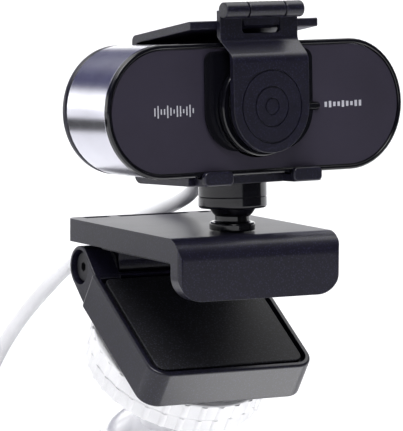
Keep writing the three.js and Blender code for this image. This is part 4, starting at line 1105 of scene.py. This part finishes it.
class WEBCAM_OT_shutter(bpy.types.Operator):
    """Adds the shutter that flips up off the lens"""

    bl_idname = "webcam.shutter"
    bl_label = "Shutter"

    def execute(self, context):
        sizes = context.scene.webcam_sizes
        half_top, half, thick = 11.8, 11.5, 1.6
        upper, lower, bend_top, bend_bottom = -0.85, -5.72, 16.9, 12.9
        bottom = LENS_Z - half
        profile = eased(
            [
                (lower, bottom),
                (lower + thick, bottom),
                (lower + thick, bend_bottom + 0.8),
                (upper + thick, bend_top + 1),
                (upper + thick, AXIS_Z),
                (upper, AXIS_Z),
                (upper, bend_top),
                (lower, bend_bottom),
            ],
            [0, 0, 1.6, 0.8, 0, 0, 1.8, 3.2],
            8,
        )
        leaf = prism("shutter", profile, -half_top, half_top, "x")
        face = [
            *arc(half, 180, 360, 48, (0, LENS_Z)),
            (half, bend_bottom),
            (half_top, bend_top),
            (half_top, AXIS_Z + 1),
            (-half_top, AXIS_Z + 1),
            (-half_top, bend_top),
            (-half, bend_bottom),
        ]
        overlap(leaf, prism("outline", face, lower - 1, 4, "y"))
        window = rectangle(KNUCKLE_LOW - 0.2, 18.6, KNUCKLE_HIGH + 0.2, 30, [1.1, 1.1, 0, 0], 6)
        cut(leaf, prism("window", window, -12, 6, "y"))
        soften(leaf, sizes.edge / MM, 3, 50)
        centre = (0, AXIS_Y, AXIS_Z)
        barrels = [
            rod("barrel", BARREL_RADIUS, low, high, "x", centre, 64, 0.35)
            for low, high in ((-half_top, KNUCKLE_LOW), (KNUCKLE_HIGH, half_top))
        ]
        join(leaf, *barrels)
        width = sizes.groove / MM / 2
        rings = [
            turned("ring", rectangle(r - width, -7, r + width, lower + 0.3), "y", 96, LENS_CENTRE)
            for r in (9.0, 4.95, 2.0)
        ]
        cut(leaf, *rings, rod("pin hole", PIN_HOLE, -9.5, 9.5, "x", centre, 32))
        finish(leaf, FACE, "cover", "black_plastic", ["privacy_cover"], 35)
        return {"FINISHED"}


class WEBCAM_OT_ball_joint(bpy.types.Operator):
    """Adds the ball stud under the webcam"""

    bl_idname = "webcam.ball_joint"
    bl_label = "Ball stud"

    def execute(self, context):
        top, bottom = 2.4, GAP - BALL_HEIGHT
        high = math.degrees(math.asin(top / BALL_RADIUS))
        low = math.degrees(math.acos(NECK_RADIUS / BALL_RADIUS))
        profile = [
            (0, top),
            *arc(BALL_RADIUS, high, -low, 40),
            *arc(0.5, 180, 270, 4, (NECK_RADIUS + 0.5, bottom + 2.5)),
            *arc(0.55, 90, 0, 5, (5.2, bottom + 1.45)),
            *arc(0.3, 0, -90, 4, (5.45, bottom + 0.3)),
            (3, bottom),
            (3, -11.8),
            (0, -11.8),
        ]
        stud = turned("stud", profile, "z", 128)
        finish(stud, STUD, "stud", "gloss_black", ["ball_stud"], 35)
        return {"FINISHED"}


# ---------------------------------------------------------------- clip

JAW_HALF, JAW_DEPTH, JAW_THICKNESS, TOP_WALL = 23.175, 60.2, 5.83, 2.2
FLAP_HEIGHT, FLAP_THICKNESS, NOSE = 15.5, 4.4, 5.5
HINGE_RADIUS, KNUCKLE_HALF, HINGE_BORE = 5.4, 14.5, 2.5
LOWER_HALF, LOWER_REAR, LOWER_FRONT, LOWER_TOP, LOWER_BOTTOM = 23.55, 6.5, 46.7, 3.58, -7.26
ARM_INNER = 15.7
STUD_CENTRE = (0, 14.39, 0)
INSERT_CENTRE = (0, -22.5, 0)


def jaw_outline(inset, rear_radius=1.2):
    half, r = LOWER_HALF - inset, max(5 - inset, 1)
    radii = [r, r, rear_radius, rear_radius]
    return rectangle(-half, -LOWER_FRONT + inset, half, -LOWER_REAR - inset, radii, 10)


class WEBCAM_OT_upper_jaw(bpy.types.Operator):
    """Adds the clip's upper jaw and its pad"""

    bl_idname = "webcam.upper_jaw"
    bl_label = "Upper jaw"

    def execute(self, context):
        side = [
            (JAW_DEPTH, -JAW_THICKNESS),
            (JAW_DEPTH, 0),
            *arc(NOSE, 90, 180, 16, (NOSE, -NOSE)),
            (0, -FLAP_HEIGHT),
            (FLAP_THICKNESS, -FLAP_HEIGHT),
            *arc(1.2, 180, 90, 5, (FLAP_THICKNESS + 1.2, -JAW_THICKNESS - 1.2)),
        ]
        jaw = prism("clip_top", side, -JAW_HALF, JAW_HALF, "x")
        front = rectangle(-JAW_HALF, -FLAP_HEIGHT, JAW_HALF, 10, [6.5, 6.5, 0, 0], 14)
        plan = rectangle(-JAW_HALF, 0, JAW_HALF, JAW_DEPTH, [1.2, 1.2, 3, 3], 6)
        overlap(jaw, prism("front", front, -1, JAW_DEPTH + 1, "y"), prism("plan", plan, -30, 10, "z"))
        soften(jaw, 0.75, 4, 35)
        pocket = block("pocket", (2 - JAW_HALF, 6.4, -7), (JAW_HALF - 2, JAW_DEPTH - 2, -TOP_WALL))
        slots = [
            block("slot", (low, 56.6, -0.7), (high, 59.2, 1)) for low, high in (
                (-19, -11.8), (-9, 11.4), (14.8, 18)
            )
        ]
        cut(jaw, pocket, *slots)
        web = block("web", (-KNUCKLE_HALF, HINGE_Y - 5, -HINGE_DROP), (KNUCKLE_HALF, HINGE_Y + 5, -1))
        centre = (0, HINGE_Y, -HINGE_DROP)
        knuckle = rod("knuckle", HINGE_RADIUS, -KNUCKLE_HALF, KNUCKLE_HALF, "x", centre, 64, 0.4)
        boss = rod("boss", 6.5, -3, -1, "z", STUD_CENTRE, 48)
        join(jaw, web, knuckle, boss)
        cut(
            jaw,
            rod("stud hole", 3.3, -10, 5, "z", STUD_CENTRE),
            rod("pin hole", HINGE_BORE, -25, 25, "x", centre),
        )
        finish(jaw, CLIP, "upper_jaw", "black_plastic", ["upper_jaw"], 35)

        half = JAW_HALF - 2 - GAP
        pad = prism("top_pad", rectangle(-half, 6.7, half, 46.3, [2, 2, 2, 2]), -6.83, -5.33, "z")
        grooves = [
            block("groove", (-half + 2.5, y, -7), (half - 2.5, y + 0.8, -6.45)) for y in range(10, 45, 3)
        ]
        cut(soften(pad, 0.35, 3), *grooves)
        finish(pad, CLIP, "upper_jaw", "grip_rubber", ["upper_pad"])
        return {"FINISHED"}


class WEBCAM_OT_lower_jaw(bpy.types.Operator):
    """Adds the clip's lower jaw, its pad and the hinge's ends"""

    bl_idname = "webcam.lower_jaw"
    bl_label = "Lower jaw"

    def execute(self, context):
        jaw = soften(prism("clip_bottom", jaw_outline(0), LOWER_BOTTOM, LOWER_TOP, "z"), 0.7, 4, 50)
        floor = LOWER_TOP - 3.8
        cut(
            jaw,
            prism("pad pocket", jaw_outline(1.3), LOWER_TOP - 2, 10, "z"),
            prism("under pocket", jaw_outline(1.8), -20, floor, "z"),
        )
        lug = [
            *arc(HINGE_RADIUS, -80, 80, 24),
            (-LOWER_REAR - 2, LOWER_TOP - 0.3),
            (-LOWER_REAR - 2, LOWER_BOTTOM + 0.4),
        ]
        outer = LOWER_HALF - 0.35
        for low, high in ((-outer, -ARM_INNER), (ARM_INNER, outer)):
            join(jaw, soften(prism("lug", lug, low, high, "x"), 0.4, 3, 50))
        recesses = [
            rod("recess", 4.5, low, high, "x", (0, 0, 0), 64) for low, high in ((-30, -19.55), (19.55, 30))
        ]
        insert = rod("insert boss", 7.2, floor - 3, floor + 0.5, "z", INSERT_CENTRE)
        join(jaw, insert)
        way = rod("insert way", 5.3, LOWER_BOTTOM - 1, floor + GAP, "z", INSERT_CENTRE)
        cut(jaw, *recesses, way, rod("pin hole", HINGE_BORE, -30, 30, "x"))
        finish(jaw, JAW, "lower_jaw", "black_plastic", ["lower_jaw"], 35)

        pad = prism("bottom_pad", jaw_outline(2.5, 2), LOWER_TOP - 1.7, LOWER_TOP - 0.2, "z")
        finish(soften(pad, 0.3, 3), JAW, "lower_jaw", "grip_rubber", ["grip_pad"])

        pin = join(
            rod("hinge_rod", 2.2, -21, 22.2, "x", (0, 0, 0), 48, 0.3),
            rod("head", 3.9, -22.05, -19.85, "x", (0, 0, 0), 64, 0.5),
        )
        finish(
            cut(pin, prism("drive", circle(1.3, 6), -24, -20.9, "x")),
            JAW,
            "lower_jaw",
            "steel",
            ["hinge_pin"],
            look="dark_steel",
        )
        nut = soften(prism("nut", circle(4, 6), 19.85, 22.25, "x"), 0.3, 3)
        finish(
            cut(nut, rod("bore", HINGE_BORE, 18, 26, "x")),
            JAW,
            "lower_jaw",
            "steel",
            ["hinge_nut"],
            look="dark_steel",
        )
        return {"FINISHED"}


# ---------------------------------------------------------------- tripod

RING_BOTTOM, RING_TOP, PLATFORM_BOTTOM, PLATFORM_TOP, NECK_TOP = 31.8, 36.5, 26.9, 31.5, 23.5
LEGS = {"front": -90, "right": 30, "left": 150}
SOCKET_RADIUS, SOCKET_CAVITY, SOCKET_DROP, CLAMP_DROP = 17, 14.6, 20, 6.6
HUB_TOP, PIVOT_RADIUS, PIVOT_Z, FOOT_RADIUS, FOOT_Z = 44, 11, 37, 78, 4.2
LEG_HALF_HEIGHT, LEG_HALF_WIDTH = 3.2, 4.5


class WEBCAM_OT_head(bpy.types.Operator):
    """Adds the head's collar, platform and ball"""

    bl_idname = "webcam.head"
    bl_label = "Ball head"

    def execute(self, context):
        sizes = context.scene.webcam_sizes
        pale = material_for("stand_plastic")
        radius = 24.0
        profile = turned_profile(
            [(3.5, RING_BOTTOM), (radius, RING_BOTTOM), (radius, RING_TOP), (21.3, RING_TOP)], 0.5
        )
        ring = turned("collar", [*profile, (21.3, 35.5), (3.5, 35.5)], "z", 160)
        ribs = dict(Count=sizes.collar_lobes, Radius=radius - 0.8, Rib=1.2, Material=pale)
        with_nodes(ring, ribs_group(), Low=RING_BOTTOM + 0.35, High=RING_TOP - 0.35, **ribs)
        finish(ring, HEAD, "ring", "stand_plastic", ["lock_ring"], 35)

        pad = turned(
            "collar_pad", turned_profile([(3.8, 36.1), (21, 36.1), (21, 37.7), (3.8, 37.7)], 0.3), "z", 128
        )
        finish(pad, HEAD, "ring", "stand_rubber", ["platform_pad"], 35)

        radius = 23.4
        outline = [
            (3.5, NECK_TOP + 6),
            (6.3, NECK_TOP + 2),
            (6.3, NECK_TOP),
            (12, NECK_TOP),
            (20.8, PLATFORM_BOTTOM),
            (radius, PLATFORM_BOTTOM),
            (radius, PLATFORM_TOP),
            (3.5, PLATFORM_TOP),
        ]
        platform = turned("platform", turned_profile(outline, 0.5), "z", 160)
        ribs["Radius"] = radius - 0.8
        with_nodes(platform, ribs_group(), Low=PLATFORM_BOTTOM + 0.35, High=PLATFORM_TOP - 0.35, **ribs)
        finish(platform, HEAD, "head", "stand_plastic", ["head_platform"], 35)

        profile = [
            (0, -12.5),
            *arc(12.5, -86, 64, 60),
            *arc(2, 180, 110, 5, (7, 17)),
            (9, 21.5),
            (9, 23.2),
            (6, 23.2),
            (6, 25.2),
            (0, 25.2),
        ]
        ball = turned("big_ball", profile, "z", 128)
        finish(ball, HEAD, "head", "ball_metal", ["head_ball"], 35)

        thread = [point for i in range(12) for point in ((3.15, 27 + 1.27 * i), (2.65, 27.63 + 1.27 * i))]
        screw = turned("camera_screw", [(0, 25.5), (3.15, 25.5), *thread, (2.4, 43.4), (0, 43.6)], "z", 48)
        finish(screw, HEAD, "head", "steel", ["mounting_screw"], 60)
        return {"FINISHED"}


class WEBCAM_OT_socket(bpy.types.Operator):
    """Adds the ball's socket, its cap and the clamp knob"""

    bl_idname = "webcam.socket"
    bl_label = "Socket and clamp"

    def execute(self, context):
        pale = material_for("stand_plastic")
        bottom = -SOCKET_DROP + GAP
        outline = [(3, bottom), (12, bottom), (SOCKET_RADIUS - 1, bottom + 3)]
        outline += [(SOCKET_RADIUS, bottom + 8), (SOCKET_RADIUS, 0)]
        bowl_arc = arc(SOCKET_CAVITY, 0, -74, 24)
        outside = eased(outline, [0, 1.5, 3, 3, 0.4], 5)
        bowl = turned("bowl", [*outside, *bowl_arc[1:], (3, bowl_arc[-1][1])], "z", 128)
        boss = rod("boss", 6, -21.5, -14.9, "x", (0, 0, -CLAMP_DROP), 64, 0.5)
        join(bowl, boss)
        cut(bowl, rod("screw hole", 2.8, -30, -10, "x", (0, 0, -CLAMP_DROP), 32))
        finish(bowl, SOCKET, "stand", "stand_plastic", ["head_socket"], 35)

        profile = [
            *arc(12.8, 1.4, 18.2, 6),
            *arc(0.9, 100, 0, 5, (SOCKET_RADIUS - 0.9, 3.1)),
            (SOCKET_RADIUS, 1.3),
            (SOCKET_RADIUS - 0.2, 1.15),
            (SOCKET_RADIUS, 1),
            (SOCKET_RADIUS, GAP + 0.2),
            (SOCKET_RADIUS - 0.2, GAP),
        ]
        cap = turned("cap", profile, "z", 128)
        finish(cap, SOCKET, "stand", "stand_plastic", ["socket_cap"], 35)

        lobes = context.scene.webcam_sizes.knob_lobes
        knob = turned("knob", turned_profile([(0, 24), (7.4, 24), (7.4, 35), (0, 35)], 0.9), "z", 96)
        with_nodes(knob, ribs_group(), Count=lobes, Radius=6.8, Rib=1.9, Low=24.7, High=34.3, Material=pale)
        knob.data.transform(
            Matrix.Translation((0, 0, -CLAMP_DROP)) @ Matrix.Rotation(math.radians(-90), 4, "Y")
        )
        finish(knob, SOCKET, "clamp", "stand_plastic", ["clamp_knob"], 35)
        return {"FINISHED"}


def leg_section(along, half_height, half_width):
    """The oval section of a leg, or of the hollow that takes it."""
    return [(along, half_width * b, -half_height * a) for a, b in circle(1, 60)]


class WEBCAM_OT_legs(bpy.types.Operator):
    """Adds the hub, the legs and their feet"""

    bl_idname = "webcam.legs"
    bl_label = "Hub and legs"

    def execute(self, context):
        centre = joint_place("head_tilt")
        place = part_frame((centre.x, centre.y, 0))
        bottom = HUB_TOP - 13.5
        outline = [
            (0, bottom),
            (13.5, bottom),
            (16.5, bottom + 2.5),
            (16.5, HUB_TOP - 3),
            (14, HUB_TOP),
            (0, HUB_TOP),
        ]
        hub = turned("hub", turned_profile(outline, 1), "z", 128)
        cuts = []
        for angle in LEGS.values():
            slot = block("slot", (PIVOT_RADIUS - 5.4, -2.8, bottom - 1), (20.5, 2.8, PIVOT_Z + 4.4))
            hole = rod("hole", 1.8, -8.6, 8.6, "y", (PIVOT_RADIUS, 0, PIVOT_Z), 32)
            for tool in (slot, hole):
                tool.data.transform(Matrix.Rotation(math.radians(angle), 4, "Z"))
                cuts.append(tool)
        finish(cut(hub, *cuts), place, "stand", "stand_plastic", ["tripod_hub"], 35)
        for name, angle in LEGS.items():
            where = place @ Matrix.Rotation(math.radians(angle), 4, "Z")
            self.add_leg(name, where)
        return {"FINISHED"}

    def add_leg(self, name, where):
        run, fall = FOOT_RADIUS - PIVOT_RADIUS, PIVOT_Z - FOOT_Z
        length = math.hypot(run, fall)
        tilt = Matrix.Translation((PIVOT_RADIUS, 0, PIVOT_Z)) @ Matrix.Rotation(
            math.atan2(fall, run), 4, "Y"
        )
        rings = [
            leg_section(x, size * LEG_HALF_HEIGHT, size * LEG_HALF_WIDTH)
            for x, size in ((9, 0.8), (9.25, 0.92), (9.8, 1), (length - 3, 1), (length - 2.9, 0.98))
        ]
        leg = loft("leg", rings)
        leg.name = f"arm_{name}"
        tongue = prism("tongue", rectangle(-3.9, -3.2, 13, 3.2, [3.1, 0.5, 0.5, 3.1]), -2.5, 2.5, "y")
        join(leg, soften(tongue, 0.35, 3))
        cut(leg, rod("hole", 1.8, -6, 6, "y", (0, 0, 0), 32))
        leg.data.transform(tilt)
        finish(leg, where, f"leg_{name}", "stand_plastic", [f"leg_{name}"], 35)

        back = length - 13
        profile = [
            (0, back),
            *arc(0.8, -90, 0, 4, (4.6, back + 0.8)),
            (5.4, back + 2.2),
            (5.15, back + 2.5),
            (5.4, back + 2.8),
            (5.4, back + 4.2),
            (5.15, back + 4.5),
            (5.4, back + 4.8),
            *arc(5.4, 0, 84, 12, (0, length)),
            (0, length + 5.4),
        ]
        boot = turned("boot", profile, "x", 64)
        boot.name = f"boot_{name}"
        hollow = [
            leg_section(x, LEG_HALF_HEIGHT + GAP, LEG_HALF_WIDTH + GAP) for x in (back - 1, length - 2.7)
        ]
        cut(boot, loft("hollow", hollow))
        boot.data.transform(tilt)
        cut(boot, block("floor", (0, -20, -20), (200, 20, 0)))
        finish(boot, where, f"leg_{name}", "stand_rubber", [f"foot_{name}"], 35)


# ---------------------------------------------------------------- what is on the cord


class WEBCAM_OT_cord_ends(bpy.types.Operator):
    """Adds the strain relief, the tie and the plug"""

    bl_idname = "webcam.cord_ends"
    bl_label = "Strain relief, tie and plug"

    def execute(self, context):
        end = WALL_BACK + 8
        ribs = []
        for i in range(5):
            y = WALL_BACK + 2.2 + 1.15 * i
            radius = 3.2 - 0.6 * (y - WALL_BACK) / 8
            ribs += [(radius, y), (radius, y + 0.6), (radius - 0.45, y + 0.7), (radius - 0.45, y + 1.05)]
        collar = [(4.2, 20.4), (4.2, 22), (3.2, 22), (3.2, 24.4), (4.2, 24.4)]
        collar += [(4.2, WALL_BACK + 0.5), (3.3, WALL_BACK + 1.9)]
        profile = [(0, 20.4), *collar, *ribs, (2.4, end - 0.1), (2.2, end), (0, end)]
        relief = turned("relief", profile, "y", 64, RELIEF_CENTRE)
        finish(relief, FACE, "webcam", "cable_grey", ["strain_relief"], 35)

        coil = part_frame((*COIL_CENTRE, 0), (-1, 0, 0), (0, -1, 0))
        half, thick = 4, 0.9
        inner = math.sqrt((COIL_RADII[-1] - CORD_RADIUS) ** 2 - half**2) - 0.5
        outer, top = COIL_RADII[0] + CORD_RADIUS + GAP, COIL_TOP + CORD_RADIUS + GAP
        outside = rectangle(inner - thick, 0, outer + thick, top + thick, [1.2] * 4, 6)
        loop = prism("strap", outside, -half, half, "y")
        hole = prism("hole", rectangle(inner, thick, outer, top, [0.5] * 4, 4), -5, 5, "y")
        finish(soften(cut(loop, hole), 0.15, 2), coil, "stand", "tie", ["cord_tie"])

        place = part_frame(PLUG_START)
        body = soften(prism("plug", rectangle(-7.8, -3.5, 7.8, 3.5, [2.4] * 4), 8, 30, "x"), 0.8, 4)
        grips = [
            soften(
                block(
                    "grip", (13 + 2.2 * i, -5.2, side * 3.5 - 0.3), (14 + 2.2 * i, 5.2, side * 3.5 + 0.3)
                ),
                0.1,
                1,
            )
            for i in range(6)
            for side in (-1, 1)
        ]
        cut(body, *grips)
        neck = [(0, 0), (2.4, 0), (2.7, 0.3)]
        for i in range(5):
            radius, x = 2.7 + 0.08 * i, 0.9 + 1.4 * i
            neck += [(radius, x), (2.3, x + 0.2), (2.3, x + 0.6), (radius + 0.1, x + 0.8)]
        join(body, turned("neck", [*neck, (3.2, 9), (0, 9)], "x", 48))
        finish(body, place, "stand", "cable_grey", ["plug_body"], 35)

        shell = soften(block("usb_shell", (30.3, -6, -2.25), (42.3, 6, 2.25)), 0.25, 2)
        hollow = block("hollow", (31.3, -5.6, -1.85), (50, 5.6, 1.85))
        windows = [block("window", (35.8, y - 1.1, 0), (38, y + 1.1, 4)) for y in (-2.6, 2.6)]
        cut(shell, hollow, *windows)
        join(shell, block("insert", (31, -5.3, -1.7), (41.6, 5.3, -0.2)))
        finish(shell, place, "stand", "plug_metal", ["plug_shell"])
        return {"FINISHED"}


# ---------------------------------------------------------------- cord

# The route from the strain relief to the coil, in the object's millimetres
CORD_ROUTE = [
    (12.02, 0.05, 149.15), (11.8, 5.4, 148.5), (12.1, 10.2, 146), (12.9, 14, 141.2),
    (13.4, 16.4, 135.9), (12.9, 18.7, 131.5), (10.6, 21.7, 128.7), (6.2, 24.9, 126.2),
    (-0.2, 28.2, 122.9), (-5, 31.4, 119.2), (-9.8, 34, 115.4), (-14.3, 36.6, 111.3),
    (-18.7, 40.2, 105.4), (-22.2, 43.6, 99.8), (-25.4, 46.4, 94), (-28.3, 48.8, 87.6),
    (-31.2, 51.6, 78.6), (-34, 55, 67), (-37, 58.8, 54.6), (-40.6, 62.8, 42),
    (-45, 66.6, 29.6), (-50.6, 69.8, 19), (-57, 71.5, 11.8), (-63, 72.1, 8.2),
    (-68.6, 72.3, 7),
]
COIL_CENTRE = (-84, 100)
COIL_RADII = (27.7, 23.9, 20.1, 16.3)
COIL_TOP, COIL_BOTTOM, CORD_RADIUS = 6.9, 3.1, 1.9
PLUG_START = (-68.4, 127.7, 3.5)


def through(points, steps):
    """A smooth curve through points, with steps points for each gap (centripetal Catmull-Rom)."""
    points = [Vector(p) for p in points]
    ends = [2 * points[0] - points[1], *points, 2 * points[-1] - points[-2]]
    out = []
    for p0, p1, p2, p3 in zip(ends, ends[1:], ends[2:], ends[3:]):
        t1 = (p1 - p0).length ** 0.5
        t2 = t1 + (p2 - p1).length ** 0.5
        t3 = t2 + (p3 - p2).length ** 0.5
        for k in range(steps):
            t = t1 + (t2 - t1) * k / steps
            a1 = p0.lerp(p1, t / t1)
            a2 = p1.lerp(p2, (t - t1) / (t2 - t1))
            a3 = p2.lerp(p3, (t - t2) / (t3 - t2))
            b1 = a1.lerp(a2, t / t2)
            b2 = a2.lerp(a3, (t - t1) / (t3 - t1))
            out.append(b1.lerp(b2, (t - t1) / (t2 - t1)))
    return [*out, points[-1]]


def eased_share(x):
    """From 0 to 1, slowly at both ends."""
    x = min(max(x, 0.0), 1.0)
    return x * x * (3 - 2 * x)


def coil_point(turns, radii, before, height):
    """A point of one layer, after so many turns on it and others before it."""
    k = min(int(turns), len(radii) - 1)
    after = radii[min(k + 1, len(radii) - 1)]
    radius = radii[k] + (after - radii[k]) * eased_share((turns - k - 0.7) / 0.3)
    return (*around(radius, -90 - 360 * (before + turns), COIL_CENTRE), height)


def coil_points():
    """The coil: inwards on the top layer, down, and outwards on the bottom one."""
    steps, turns_in, turns_out = 24, 4, 4.5
    points = []
    for i in range(1, turns_in * steps):
        turns = i / steps
        height = COIL_TOP + (COIL_BOTTOM - COIL_TOP) * eased_share((turns - 3.55) / 0.45)
        points.append(coil_point(turns, COIL_RADII, 0, height))
    for i in range(int(turns_out * steps) + 1):
        points.append(coil_point(i / steps, COIL_RADII[::-1], turns_in, COIL_BOTTOM))
    return points


class WEBCAM_OT_cord(bpy.types.Operator):
    """Adds the cord with its coil"""

    bl_idname = "webcam.cord"
    bl_label = "Cord"

    def execute(self, context):
        sizes = context.scene.webcam_sizes
        points = through(CORD_ROUTE, 4)
        points += [Vector(p) for p in coil_points()]
        points += through(
            [points[-1], Vector((-79, 127.7, 3.15)), Vector((-73, 127.7, 3.4)), Vector(PLUG_START)], 4
        )[1:]
        curve = bpy.data.curves.new("usb_lead", "CURVE")
        curve.dimensions = "3D"
        curve.bevel_depth = sizes.cord_diameter / 2
        curve.bevel_resolution = 5
        curve.use_fill_caps = True
        spline = curve.splines.new("POLY")
        spline.points.add(len(points) - 1)
        for point, place in zip(spline.points, points):
            point.co = (*(place * MM), 1)
        spline.use_smooth = True
        cord = bpy.data.objects.new("usb_lead", curve)
        context.scene.collection.objects.link(cord)
        curve.materials.append(material_for("cable_grey"))
        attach(cord, "stand")
        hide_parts("usb_cord", "cord_coil")
        return {"FINISHED"}


# ---------------------------------------------------------------- what is left of the frame


class WEBCAM_OT_plain_parts(bpy.types.Operator):
    """Paints the frame's own parts by their slots"""

    bl_idname = "webcam.plain_parts"
    bl_label = "Parts shown as they are"

    def execute(self, context):
        for part in frame["record"]["subparts"]:
            node = frame["nodes"][part["node"]]
            node.data.materials.clear()
            node.data.materials.append(material_for(part["material_slot"]))
        return {"FINISHED"}


class WEBCAM_PT_panel(bpy.types.Panel):
    """Lists the pieces in the order that they are made"""

    bl_idname = "WEBCAM_PT_panel"
    bl_label = "Webcam on tripod"
    bl_space_type = "VIEW_3D"
    bl_region_type = "UI"
    bl_category = "Webcam"

    def draw(self, context):
        for group in ("webcam_finishes", "webcam_sizes", "webcam_stage"):
            box = self.layout.box()
            settings = getattr(context.scene, group)
            for key in settings.bl_rna.properties.keys():
                if key not in ("rna_type", "name"):
                    box.prop(settings, key)
        for operator in OPERATORS:
            self.layout.operator(operator.bl_idname)


OPERATORS = (
    WEBCAM_OT_stage,
    WEBCAM_OT_plain_parts,
    WEBCAM_OT_body,
    WEBCAM_OT_lens,
    WEBCAM_OT_cradle,
    WEBCAM_OT_shutter,
    WEBCAM_OT_ball_joint,
    WEBCAM_OT_upper_jaw,
    WEBCAM_OT_lower_jaw,
    WEBCAM_OT_head,
    WEBCAM_OT_socket,
    WEBCAM_OT_legs,
    WEBCAM_OT_cord_ends,
    WEBCAM_OT_cord,
)
CLASSES = (WebcamFinishes, WebcamSizes, WebcamStage, *OPERATORS, WEBCAM_PT_panel)


def register():
    for cls in CLASSES:
        bpy.utils.register_class(cls)
    bpy.types.Scene.webcam_finishes = bpy.props.PointerProperty(type=WebcamFinishes)
    bpy.types.Scene.webcam_sizes = bpy.props.PointerProperty(type=WebcamSizes)
    bpy.types.Scene.webcam_stage = bpy.props.PointerProperty(type=WebcamStage)


def unregister():
    for name in ("webcam_finishes", "webcam_sizes", "webcam_stage"):
        delattr(bpy.types.Scene, name)
    for cls in reversed(CLASSES):
        bpy.utils.unregister_class(cls)


def main():
    """Registers the add-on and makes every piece."""
    register()
    for operator in OPERATORS:
        group, name = operator.bl_idname.split(".")
        getattr(getattr(bpy.ops, group), name)()


if __name__ == "__main__":
    main()
